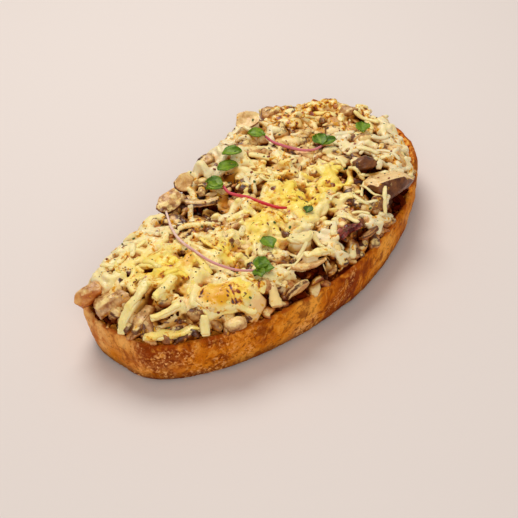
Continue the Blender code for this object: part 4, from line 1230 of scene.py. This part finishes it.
def larger_mushrooms(material):
    """The larger mushroom pieces. Returns their bodies."""
    bodies = []
    for number, (name, (slot, tone, tan, facing, reach)) in enumerate(MUSHROOMS.items()):
        points, faces, normals, edge, cut = carved(name, number)
        toward = normals @ (np.array(facing) / np.linalg.norm(facing))
        skin = smooth_step(toward + 0.15 * noise_at(points, 6.0, number), reach, reach + 0.2)
        skin *= 1.0 - 0.6 * cut * (reach > 0.1)
        edge = edge + 0.3 * noise_at(points, 7.0, number + 0.5)
        skin = np.maximum(skin, 0.8 * smooth_step(edge, 0.55, 0.85))
        # lighter where it faces up and darker where it faces down: painted light and shade
        shade = tone + 0.3 * noise_at(points, 6.0, number * 7.1) + 0.15 * normals[:, 2] + 0.06 * cut
        browned = tan * (1.0 - 0.7 * smooth_step(normals[:, 2], 0.4, 0.8))
        bodies.append((points, faces))
        dress(f"{name}_cut", bodies[-1], material, slot, (name,), tone=shade, skin=skin, tan=browned,
              veil=COATED.get(name, OTHER_COAT), toast=-0.2)
    return bodies


def line_distance(places, start, end):
    """Distance of places from the line between two points."""
    start, along = np.array(start), np.subtract(end, start)
    share = np.clip((places - start) @ along / (along @ along), 0, 1)
    return np.linalg.norm(places - start - share[:, None] * along, axis=1)


def rim_distance(points, normals):
    """How far inside the rim of a thin body each of its points lies, seen from above."""
    flat = points * [1.0, 1.0, 0.0]
    rim = search_tree(flat[np.abs(normals[:, 2]) < UPRIGHT])
    return np.array([rim.find(place)[2] for place in flat.tolist()])


def sheet_looks(points, normals):
    """Of the sheet of cheese: how far its middle is golden, and where it is scorched."""
    x, places = points[:, 0], points[:, :2]
    middle = smooth_step(rim_distance(points, normals) + 2.0 * noise_at(points, 4.0, 3.1), -0.6, 3.6)
    golden = smooth_step(0.9 * noise_at(points, 6.0, 2.9) - (x + 69.0) / 11.0, -0.6, 0.6)
    broken = patches(points, 3.0, 7.7, -0.5, 0.1)
    lines = [np.exp(-((line_distance(places, *ends) / SCORCH_WIDTH) ** 2)) for ends in SHEET_SCORCHES]
    return middle, middle * golden, sum(SCORCH * broken * line for line in lines)


def larger_cheeses(material):
    """The larger pieces of cheese. Returns their bodies."""
    bodies = []
    for number, (name, (yellow, gold, toast)) in enumerate(CHEESES.items()):
        points, faces, normals = fused([node_points(name)], SOFT_PITCH, 9)
        soft = relief(points, (0.75, 4.5, number * 5.3), (0.3, 2.0, number * 3.3))
        points = points + normals * (soft + 0.1)[:, None]
        shifts = [noise_at(points, 7.0, number + k) for k in (0.2, 0.7, 0.5)]
        points += 1.1 * np.stack(shifts, 1) * [1, 1, 0.6]
        golden = patches(points, 8.0, number * 1.9, -0.35, 0.25)
        if name == "cheese_sheet":
            middle, golden, scorched = sheet_looks(points, normals)
            yellow, toast = yellow * middle, toast + scorched
        bodies.append((points, faces))
        dress(f"{name}_melted", bodies[-1], material, "cheese", (name,), yellow=yellow,
              gold=gold * golden, toast=toast)
    return bodies


def make_onion():
    """The dark red piece. Returns its body."""
    points, faces, normals = fused([node_points("onion_piece")], SOFT_PITCH, 3)
    points = points + normals * relief(points, (0.9, 5.0, 3.3), (0.5, 2.2, 7.7))[:, None]
    stops = ((0.38, rgb(72, 12, 8)), (0.5, rgb(122, 36, 26)), (0.58, rgb(160, 76, 60)),
             (0.68, rgb(212, 150, 124)))
    material = plain_food("cooked_onion", stops, 4.0, roughness=0.25, subsurface=0.15, depth=0.4)
    dress("onion_layer", (points, faces), material, "onion", ("onion_piece",))
    return points, faces


# ---------------------------------------------------------------- cheese


def pool_share(x, y):
    """1 inside a pool of golden cheese, 0 away from them."""
    share = np.zeros(np.shape(x))
    edge = 1.0 + 0.3 * np.sin(x * 0.7) + 0.3 * np.cos(y * 0.6)
    for pool in GOLD_POOLS:
        away = ((x - pool[0]) ** 2 + (y - pool[1]) ** 2) * edge / pool[2] ** 2
        share = np.maximum(share, np.exp(-(away**2)))
    return share


def melted_film(terrain, top):
    """The melted cheese that fills the gaps and covers the pieces where it is thick.

    Returns its height over the grid, and how much cheese is there.
    """
    x, y = terrain.x, terrain.y
    slope = np.hypot(*np.gradient(terrain.blur(terrain.heap, 2.0), GRID))
    cover = COVER_BASE + zone_top(CHEESE_ZONES, x, y, THICK) - zone_sum(BARE_ZONES, x, y, BARE)
    cover -= 0.6 * smooth_step(slope, STEEP, STEEPEST)
    cover += terrain.relief((0.40, 12.0, 30.0), (0.36, 5.0, 41.0))
    film = terrain.blur(top, FILM_BLUR) + FILM_RISE * (cover - FILM_LEVEL)
    film = np.minimum(film, top + FILM_MOST)
    pool = pool_share(x, y)
    film = mix(film, terrain.blur(film, 2.0) + POOL_RISE, pool)
    lumps = terrain.relief((0.75, 5.2, 51.0), (0.45, 2.9, 55.0), (0.12, 1.5, 58.0))
    return film + lumps * (1 - 0.8 * pool), np.maximum(cover, pool)


def film_body(terrain, film, top, cover):
    """The film as a closed thin body, only where it shows."""
    shown = (film > top - FILM_SUNK) & (cover > COVER_SHOWN)
    shown &= terrain.depth > terrain.inset + FILM_INSET
    for _ in range(2):
        grown = shown.copy()
        grown[1:, :] |= shown[:-1, :]
        grown[:-1, :] |= shown[1:, :]
        grown[:, 1:] |= shown[:, :-1]
        grown[:, :-1] |= shown[:, 1:]
        shown = grown
    cell = np.logical_and.reduce(cell_corners(shown))
    grid = np.arange(film.size).reshape(film.shape)
    faces = halves(*(corner[cell] for corner in cell_corners(grid)))
    used, faces = np.unique(faces, return_inverse=True)
    faces = faces.reshape(-1, 3)
    upper = np.stack([layer.ravel()[used] for layer in (terrain.x, terrain.y, film)], 1)
    count = len(used)
    ends = np.concatenate([faces[:, [0, 1]], faces[:, [1, 2]], faces[:, [2, 0]]])
    key = ends[:, 0] * count + ends[:, 1]
    back = ends[:, 1] * count + ends[:, 0]
    a, b = ends[~np.isin(key, back)].T
    points = np.concatenate([upper, upper - [0.0, 0.0, FILM_THICKNESS]])
    return points, np.concatenate([faces, faces[:, ::-1] + count, halves(b, a, a + count, b + count)])


def make_film(terrain, top, kept, melted):
    """The melted film, below the kept pieces and joined to the larger melted ones.

    Returns its body, and the topping's heights with it.
    """
    film, cover = melted_film(terrain, top)
    film = np.where(kept > TAKEN_Z, np.minimum(film, kept - KEPT_CLEAR), film)
    near = terrain.blur((melted > TAKEN_Z).astype(float), SKIRT_REACH)
    skirt = terrain.blur(np.where(melted > TAKEN_Z, melted, film), SKIRT_REACH) - SKIRT_DROP
    joins = (near > SKIRT_NEAR) & (skirt > film) & (skirt < film + SKIRT_MOST) & (melted < TAKEN_Z)
    film = np.where(joins, skirt, film)
    cover = np.where(joins, np.maximum(cover, SKIRT_COVER), cover)
    return film_body(terrain, film, top, cover), np.maximum(top, np.where(cover > COVER_SHOWN, film, 0.0))


def widest(grid, reach):
    """Each grid point's highest neighbour within a reach in millimetres."""
    steps = int(round(reach / GRID))
    for axis in (0, 1):
        grid = np.max([np.roll(grid, k, axis) for k in range(-steps, steps + 1)], 0)
    return grid


def shred_body(path, width, thickness, seed):
    """A grated shred along a path: rounded four-sided section, blunt ends."""
    side, up = path_axes(path)
    turn = np.linspace(0, 2 * math.pi, SHRED_SIDES, endpoint=False) + math.pi / SHRED_SIDES
    across = np.sign(np.cos(turn)) * np.abs(np.cos(turn)) ** 0.7 * width / 2
    rise = np.sign(np.sin(turn)) * np.abs(np.sin(turn)) ** 0.7 * thickness / 2
    share = np.linspace(0, 1, len(path))
    size = mix(0.62, 1.0, np.clip(np.sin(share * math.pi) * 3.0, 0, 1))
    size *= 1.0 + 0.25 * noise_at(path, 3.0, seed * 1.7)
    twist = 0.9 * noise_at(path, 9.0, seed * 3.1)[:, None]
    cos, sin = np.cos(twist)[..., None], np.sin(twist)[..., None]
    a, b = across[None, :, None] * size[:, None, None], rise[None, :, None] * size[:, None, None]
    rings = path[:, None] + side[:, None] * (a * cos - b * sin) + up[:, None] * (a * sin + b * cos)
    return closed_rings(rings)


def draped_path(terrain, high, x, y, yaw, length, curl, lift):
    """Points of a shred that lies on a surface and spans its gaps."""
    shares = np.linspace(-0.5, 0.5, SHRED_STEPS)
    turn = yaw + curl * shares
    px, py = x + np.cos(turn) * shares * length, y + np.sin(turn) * shares * length
    height = terrain.at(high, px, py)
    for _ in range(4):
        height[1:-1] = np.maximum(height[1:-1] - 0.15, (height[:-2] + height[2:]) / 2)
    smooth = np.convolve(np.pad(height, 1, "edge"), [0.25, 0.5, 0.25], "valid")
    return np.stack([px, py, smooth + lift], 1)


def shred_place(terrain, draw, loop, kind):
    """Where a shred of a kind lies."""
    if kind == "string":
        return draw.uniform(-40.0, 62.0), draw.uniform(-46.0, -22.0)
    if kind == "foot":
        x, y = loop[draw.randrange(OUTLINE_STEPS)]
        inward = (float(terrain.at(terrain.inset, x, y)) + draw.uniform(0.0, 4.0)) / math.hypot(x, y)
        return x * (1.0 - inward), y * (1.0 - inward)
    return loop[draw.randrange(OUTLINE_STEPS)] * draw.random() ** 0.40 * 0.97


def lay_shreds(terrain, high, kept, kind, count, seed):
    """Shreds of a kind laid over the topping, as (points, faces, values) of each."""
    draw = random.Random(seed)
    loop = outline_loop()
    lengths, widths, thicknesses, lifts = SHREDS[kind]
    soft, string = kind in ("melted", "foot"), kind == "string"
    laid = []
    while len(laid) < count:
        x, y = shred_place(terrain, draw, loop, kind)
        length, width = draw.uniform(*lengths), draw.uniform(*widths)
        yaw = draw.gauss(0.0, 0.9) if string else draw.uniform(0, math.pi)
        if kind in ("melted", "whole"):
            cheesy = 0.5 + zone_top(CHEESE_ZONES, x, y, THICK) - 0.45 * zone_sum(BARE_ZONES, x, y, BARE)
            if draw.random() > cheesy:
                continue
        lift = draw.uniform(*lifts)
        width *= SOFT_WIDENING if soft else 1.0
        path = draped_path(terrain, high, x, y, yaw, length, draw.uniform(-0.6, 0.6), lift)
        places = (path[:, 0], path[:, 1])
        blocked = (terrain.at(kept, *places) > TAKEN_Z) | (pool_share(*places) > POOL_EDGE)
        outermost = -1.5 if kind == "foot" else -0.5
        if terrain.inside(*places).min() < outermost or blocked.mean() > BLOCKED_SHARE:
            continue
        points, faces = shred_body(path, width, width * draw.uniform(*thicknesses), len(laid) + seed)
        yellow = 1.2 * float(zone_top(CHEESE_ZONES, x, y, RICH)) - 0.25 + draw.uniform(-0.35, 0.35)
        toast = float(zone_top(CHEESE_ZONES, x, y, TOASTED)) + draw.uniform(-0.6, 0.3) - string
        laid.append((points, faces, {"yellow": 0.0 if string else yellow, "toast": toast}))
    return laid


def loose_shreds(terrain, top, kept, material):
    """Shreds that keep their shape, over the melted ones, and strings down the front of the heap."""
    high = widest(top, 0.5)
    shreds = Gathered()
    for kind in (WHOLE_SHREDS, STRINGS):
        for points, faces, values in lay_shreds(terrain, high, kept, *kind):
            shreds.add(points, faces, gold=0.0, **values)
    shreds.dress("grated_cheese", material, "cheese")
    return shreds.body()


def melting_parts(terrain, film, top, kept):
    """What melts together, as (points, faces, values) of each: film, shreds, curds, larger pieces."""
    high = widest(top, 0.5)
    parts = [(*film, {"yellow": 0.0, "toast": 0.0})]
    for kind in (MELTED_SHREDS, FOOT_SHREDS):
        parts += lay_shreds(terrain, high, kept, *kind)
    parts += curds(terrain, top, kept)
    for name, (yellow, _, toast) in CHEESES.items():
        body, faces = node_points(name)
        middle = body.mean(0)
        wider = (body - middle) * [MELT_SPREAD, MELT_SPREAD, 1.0] + middle - [0.0, 0.0, SKIRT_DROP]
        parts.append((wider, faces, {"yellow": yellow, "toast": toast}))
    return parts


def melt(terrain, film, top, kept, material):
    """The film, the shreds and the curds on it melted into one soft skin. Returns its body."""
    parts = melting_parts(terrain, film, top, kept)
    points, faces, normals = fused([part[:2] for part in parts], MELT_PITCH, 3, MELT_SHARE)
    crumbly = 0.4 + 0.6 * np.clip(zone_top(CHEESE_ZONES, points[:, 0], points[:, 1], RICH), 0, 1)
    rough = relief(points, (0.3, 1.7, 6.0), (0.32, 3.0, 16.0))
    points = points + normals * (crumbly * rough)[:, None]
    owner = np.repeat(np.arange(len(parts)), [len(part[0]) for part in parts])
    tree = search_tree(np.concatenate([part[0] for part in parts]))
    nearest = owner[[tree.find(place)[1] for place in points.tolist()]]
    own = {key: np.array([part[2][key] for part in parts])[nearest] for key in ("yellow", "toast")}
    x, y, z = points.T
    peaks = smooth_step(z - terrain.at(terrain.blur(top, 3.0), x, y), -0.3, 1.6)
    toast = 0.9 * zone_top(CHEESE_ZONES, x, y, TOASTED) + 0.4 * peaks - 0.3
    toast = mix(toast + 0.5 * noise_at(points, 16.0, 3.0), own["toast"], 0.4)
    yellow = 1.25 * zone_top(CHEESE_ZONES, x, y, RICH) - 0.3
    yellow = mix(yellow, own["yellow"], 0.45 * (nearest > 0))
    pool = pool_share(x, y)
    dress("melted_cheese", (points, faces), material, "cheese", yellow=yellow, gold=0.85 * pool,
          toast=toast - 0.5 * pool)
    return points, faces


def uneven(seed, box):
    """A rounded box made lumpy."""
    points, faces = box
    return points * (1.0 + 0.45 * noise_at(points, 0.9, seed * 3.7))[:, None], faces


def curds(terrain, top, kept):
    """Small soft crumbs of cheese in the thick yellow middle, as (points, faces, values)."""
    draw = random.Random(CURD_SEED)
    box = rounded_box(1, 2.6)
    crumbs = []
    for number in range(CURD_COUNT):
        x, y = (draw.gauss(*spread) for spread in CURDS_MIDDLE)
        if number % 5 == 0:
            x, y = (draw.gauss(*spread) for spread in CURDS_NEAR_END)
        if terrain.at(terrain.depth, x, y) < CURD_INSET or terrain.at(kept, x, y) > TAKEN_Z:
            continue
        points, faces = uneven(number, box)
        half = np.array([draw.uniform(1.0, 3.0), draw.uniform(0.8, 1.7), draw.uniform(0.8, 1.5)])
        turn = np.array(turned(draw.uniform(0, WHOLE_TURN)))
        middle = [x, y, float(terrain.at(top, x, y)) + draw.uniform(-0.3, 0.3)]
        values = {"yellow": draw.uniform(0.5, 1.2), "toast": draw.uniform(-0.6, 0.1)}
        crumbs.append(((points * half) @ turn.T + middle, faces, values))
    return crumbs


# Tiny flakes of each kind: name, darkest and lightest colour, how many, smallest and largest, seed
FLECKS = (
    ("chilli_flakes", rgb(96, 28, 10), rgb(158, 62, 22), 260, (0.5, 1.7), 51),
    ("pepper_grains", rgb(34, 24, 18), rgb(78, 56, 40), 190, (0.4, 1.1), 52),
    ("herb_flakes", rgb(44, 66, 20), rgb(88, 112, 44), 170, (0.5, 1.8), 53),
)


def flecks(terrain, top, name, darkest, lightest, count, sizes, seed):
    """Tiny flakes of one kind, lying on the topping."""
    draw = random.Random(seed)
    box = rounded_box(1, 3.0)
    loop = outline_loop()
    flakes = Gathered()
    for number in range(count):
        p = loop[draw.randrange(OUTLINE_STEPS)] * draw.random() ** 0.5 * 0.93
        lean = terrain.normal(top, *p, FLECK_SLOPE_REACH).to_track_quat("Z", "Y").to_matrix()
        lean = np.array(lean @ turned(draw.uniform(0, WHOLE_TURN)))
        points, faces = uneven(number, box)
        size = mix(*sizes, draw.random() ** 2)
        half = np.array([size, size * draw.uniform(0.4, 0.8), size * draw.uniform(0.2, 0.4)]) / 2
        middle = [p[0], p[1], float(terrain.at(top, *p)) + half[2] * 0.5]
        flakes.add((points * half) @ lean.T + middle, faces)
    flakes.dress(name, plain_food(name, ((0.4, darkest), (0.6, lightest)), 0.8), "heap")


# ---------------------------------------------------------------- microgreens


# Each sprig: name, stem's radius, its route from above as in the part's source, its leaflets (the
# end each grows from, its heading in degrees and its length), and its stem's name, colours and slot
SPRIGS = (
    ("sprig_red", 0.85,
     ((-6.7, 25.7), (-9.5, 19.1), (-10.1, 11.1), (-9.7, 2.5), (-8.0, -12.4)),
     (("start", 150.0, 9.0), ("start", 108.0, 9.0)),
     ("red_stem_skin", rgb(216, 84, 98), rgb(206, 40, 48)), "red_stem"),
    ("sprig_pale", 0.7,
     ((-38.0, 36.5), (-48.0, 25.0), (-54.5, 14.0), (-58.5, -1.5), (-56.5, -14.5), (-51.0, -25.0)),
     (("end", 5.0, 8.5), ("end", -60.0, 8.0), ("end", -130.0, 7.0)),
     ("pale_stem_skin", rgb(238, 206, 190), rgb(214, 150, 148)), "pink_stem"),
    ("sprig_pink", 0.75,
     ((33.9, 28.2), (34.1, 20.6), (36.5, 14.4), (40.8, 7.7), (47.4, 3.0)),
     (("start", 115.0, 9.0), ("end", 50.0, 9.0), ("end", -25.0, 8.5)),
     ("pink_stem_skin", rgb(206, 96, 112), rgb(214, 128, 134)), "pink_stem"),
)
# Each loose leaf: name, place, heading, length and how dark it is
LONE_LEAVES = (
    ("leaf_back_bright", -0.5, 33.0, -32.0, 11.0, 0.0),
    ("leaf_back_far", 8.2, 36.2, -40.0, 10.0, 0.0),
    ("leaf_far", 71.0, -7.0, 35.0, 9.0, 0.0),
    ("leaf_front_bright", -33.5, -22.0, 70.0, 9.0, 0.0),
    ("leaf_dark", -2.0, -19.5, 10.0, 5.5, 0.9),
)


def smooth_route(points, count):
    """Evenly counted points on a smooth curve through the route's own points."""
    loop = np.array(points)
    knots = np.concatenate([[0.0], np.cumsum(np.linalg.norm(np.diff(loop, axis=0), axis=1))])
    ends = np.concatenate([[2 * loop[0] - loop[1]], loop, [2 * loop[-1] - loop[-2]]])
    out = []
    for value in np.linspace(0.0, knots[-1], count):
        k = min(int(np.searchsorted(knots, value, side="right")) - 1, len(loop) - 2)
        t = (value - knots[k]) / (knots[k + 1] - knots[k])
        a, b, c, d = ends[k : k + 4]
        out.append(0.5 * (2 * b + (c - a) * t + (2 * a - 5 * b + 4 * c - d) * t**2
                          + (3 * b - a - 3 * c + d) * t**3))
    return np.array(out)


def stem_path(terrain, top, route, radius):
    """The stem's points, resting on what it crosses and spanning what lies lower."""
    places = smooth_route(route, STEM_STEPS)
    lying = 0.35 * widest(top, 0.8) + 0.65 * terrain.blur(top, 1.2)
    height = terrain.at(lying, places[:, 0], places[:, 1]) + radius
    for _ in range(STEM_ROUNDS):
        height[1:-1] = np.maximum(height[1:-1], (height[:-2] + height[2:]) / 2)
    height = np.convolve(np.pad(height, 2, "edge"), STEM_SOFTENING, "valid")
    from_end = np.minimum(np.arange(STEM_STEPS), np.arange(STEM_STEPS)[::-1])
    rise = np.clip(1.0 - from_end / STEM_END_STEPS, 0, 1)
    return at_level(places, height + STEM_END_RISE * rise**2)


def tube(path, radii):
    """A round stem along a path."""
    side, up = path_axes(path)
    turn = np.linspace(0, 2 * math.pi, STEM_SIDES, endpoint=False)[None, :, None]
    reach = radii[:, None, None]
    return closed_rings(path[:, None] + (side[:, None] * np.cos(turn) + up[:, None] * np.sin(turn)) * reach)


def leaf_blade(length, seed):
    """A leaflet along X from its stalk: round, cupped and wavy, with a vein down its middle."""
    s = np.linspace(0, 1, LEAF_ROWS)[:, None]
    t = np.linspace(-1, 1, LEAF_COLUMNS)[None, :]
    round_end = np.sin(math.pi * np.clip(s * 0.9 + 0.1, 0, 1)) ** 0.55
    half = length * LEAF_HALF * round_end * smooth_step(s, -0.12, 0.3)
    half = np.maximum(half, length * STALK_HALF)
    x = s * length - LEAF_TIP * length * t * t * (s > 0.8) + np.zeros(t.shape)
    y = t * half
    z = LEAF_CUP * length * t * t + LEAF_WAVE * length * np.sin(4.0 * s + 2.0 * t + seed)
    z = z - LEAF_DROOP * length * s * s - LEAF_VEIN * length * np.exp(-((t / 0.16) ** 2))
    grid = np.stack([x, y, z], 2).reshape(-1, 3)
    vein = np.exp(-((t / 0.13) ** 2)) * (1 - 0.5 * s) + 0.35 * (np.abs(np.sin(9 * s - 5 * np.abs(t))) > 0.96)
    points = np.concatenate([grid + [0, 0, LEAF_THICKNESS / 2], grid - [0, 0, LEAF_THICKNESS / 2]])
    return points, sheet_faces(LEAF_ROWS, LEAF_COLUMNS), np.tile(np.clip(vein, 0, 1).ravel(), 2)


def set_leaf(points, root, heading, tilt):
    """A leaflet turned to a heading, tilted up and moved to its root."""
    turn = turned(math.radians(heading)) @ Matrix.Rotation(-math.radians(tilt), 3, "Y")
    return points @ np.array(turn).T + root


def lowest_clear(terrain, top, points):
    """How far the leaf has to rise so that it doesn't sink into what lies below it."""
    gap = points[:, 2] - terrain.at(top, points[:, 0], points[:, 1])
    return max(0.0, -float(np.percentile(gap, 3)))


def grow_sprig(terrain, top, leaf, number, name, radius, route, leaflets, skin, slot):
    """A sprig: its stem along its route, and the leaflets at its ends."""
    path = stem_path(terrain, top, route, radius)
    share = np.linspace(0, 1, len(path))
    radii = radius * mix(0.7, 1.0, np.sin(share * math.pi) ** 0.5) * (1 + 0.12 * noise_at(path, 3.0, number))
    along = np.append(np.repeat(share, STEM_SIDES), [0.0, 1.0])
    dress(f"{name}_stem", tube(path, radii), stem_material(*skin), slot, (name,), along=along)
    leaves = Gathered()
    for k, (end, heading, length) in enumerate(leaflets):
        root = path[0] if end == "start" else path[-1]
        blade, faces, vein = leaf_blade(length, 3 * number + k)
        placed = set_leaf(blade, root, heading, SPRIG_TILT)
        placed[:, 2] += lowest_clear(terrain, top, placed) * np.clip(blade[:, 0] / length, 0, 1)
        leaves.add(placed, faces, vein=vein, dark=0.15 * k)
    leaves.dress(f"{name}_leaves", leaf, "leaf")


def make_greens(terrain, top):
    """The sprigs and the loose leaves."""
    leaf = leaf_material()
    for number, sprig in enumerate(SPRIGS):
        grow_sprig(terrain, top, leaf, number, *sprig)
    for number, (name, x, y, heading, length, dark) in enumerate(LONE_LEAVES):
        root = np.array([x, y, float(terrain.at(top, x, y)) + 0.5])
        blade, faces, vein = leaf_blade(length, number + 20)
        placed = set_leaf(blade, root, heading, LONE_TILT)
        placed[:, 2] += lowest_clear(terrain, top, placed)
        dress(f"{name}_blade", (placed, faces), leaf, "leaf", (name,), vein=vein, dark=dark)


def mark_gaps(terrain, top, pieces):
    """Marks how deep each point of the pieces lies below the topping's smoothed surface, as the strength of
    the painted shade there.
    """
    rim = 1 - smooth_step(terrain.depth - terrain.inset, 1.0, 9.0)
    levels = [(terrain.blur(top, blur) - drop * rim, depths, dark) for blur, drop, depths, dark in GAPS]
    for piece in pieces:
        x, y, z = (point_values(piece.data, "co") / MM).T
        deep = [dark * smooth_step(terrain.at(level, x, y) - z, *depths) for level, depths, dark in levels]
        set_value(piece.data, "deep", np.maximum(*deep))


# ---------------------------------------------------------------- stage


def make_floor():
    """A wide pale floor just under the slice."""
    corners = [(x * FLOOR_REACH, y * FLOOR_REACH, FLOOR_Z) for x, y in ((-1, -1), (1, -1), (1, 1), (-1, 1))]
    mesh = new_mesh("floor", corners, [(0, 1, 2, 3)])
    mesh.materials.append(Shade("pale_floor", roughness=0.7).finish(rgb(230, 219, 213)))
    floor = link("floor", mesh)


def make_light():
    """Daylight all round, a large key light from behind and a fill light from the front."""
    world = bpy.data.worlds.new("studio")
    bpy.context.scene.world = world
    world.use_nodes = True
    sky = world.node_tree.nodes["Background"].inputs
    sky["Color"].default_value = WORLD_COLOUR
    sky["Strength"].default_value = WORLD_STRENGTH
    for name, place, size, power in LIGHTS:
        data = bpy.data.lights.new(name, "AREA")
        data.shape = "DISK"
        data.size = size * MM
        data.energy = power
        data.color = LIGHT_COLOUR
        light = link(name, data)
        light.location = Vector(place) * MM
        light.rotation_mode = "QUATERNION"
        light.rotation_quaternion = Vector(place).to_track_quat("Z", "Y")


def make_camera():
    """The camera that took the photograph."""
    data = bpy.data.cameras.new("camera")
    data.lens = LENS
    data.sensor_width = SENSOR
    data.clip_start, data.clip_end = CLIP_START, CLIP_END
    camera = link("camera", data)
    turn = Matrix((CAMERA_RIGHT, CAMERA_UP, CAMERA_BACK)).transposed()
    camera.matrix_world = Matrix.Translation(Vector(CAMERA_PLACE) * MM) @ turn.to_4x4()
    bpy.context.scene.camera = camera
    bpy.context.scene.view_settings.view_transform = "Standard"


# ---------------------------------------------------------------- assembly


def make_topping(terrain):
    """The heap, from its bed up to the flakes, and the greens on it."""
    core = make_core(terrain)
    # The bed's dark browns are painted shade in the gaps between the pieces
    dark = Shade("painted_shade_bed")
    bed = dark.ramp(dark.noise(4.0, 3.0), (0.35, rgb(40, 16, 10)), (0.65, rgb(110, 60, 32)))
    dress("heap_bed", core, dark.finish(bed), "heap", ("topping",))
    mushroom, cheese = mushroom_material(), cheese_material()
    cheeses = larger_cheeses(cheese)
    larger = [*larger_mushrooms(mushroom), *cheeses, make_onion()]
    kept, melted = terrain.top_of(larger), terrain.top_of(cheeses)
    chopped = chopped_pieces(terrain, kept)
    for kind, gathered in chopped.items():
        gathered.dress(f"mushroom_{kind}", mushroom, "pale_mushroom")
    top = terrain.top_of([core, *(gathered.body() for gathered in chopped.values()), *larger])
    film, top = make_film(terrain, top, kept, melted)
    top = np.maximum(top, terrain.top_of([melt(terrain, film, top, kept, cheese)]))
    top = np.maximum(top, terrain.top_of([loose_shreds(terrain, top, kept, cheese)]))
    for kind in FLECKS:
        flecks(terrain, top, *kind)
    make_greens(terrain, top)
    worn = (mushroom, cheese)
    mark_gaps(terrain, top, [o for o in bpy.data.objects if o.type == "MESH" and o.active_material in worn])


make_bread()
make_topping(Terrain())
make_floor()
make_light()
make_camera()
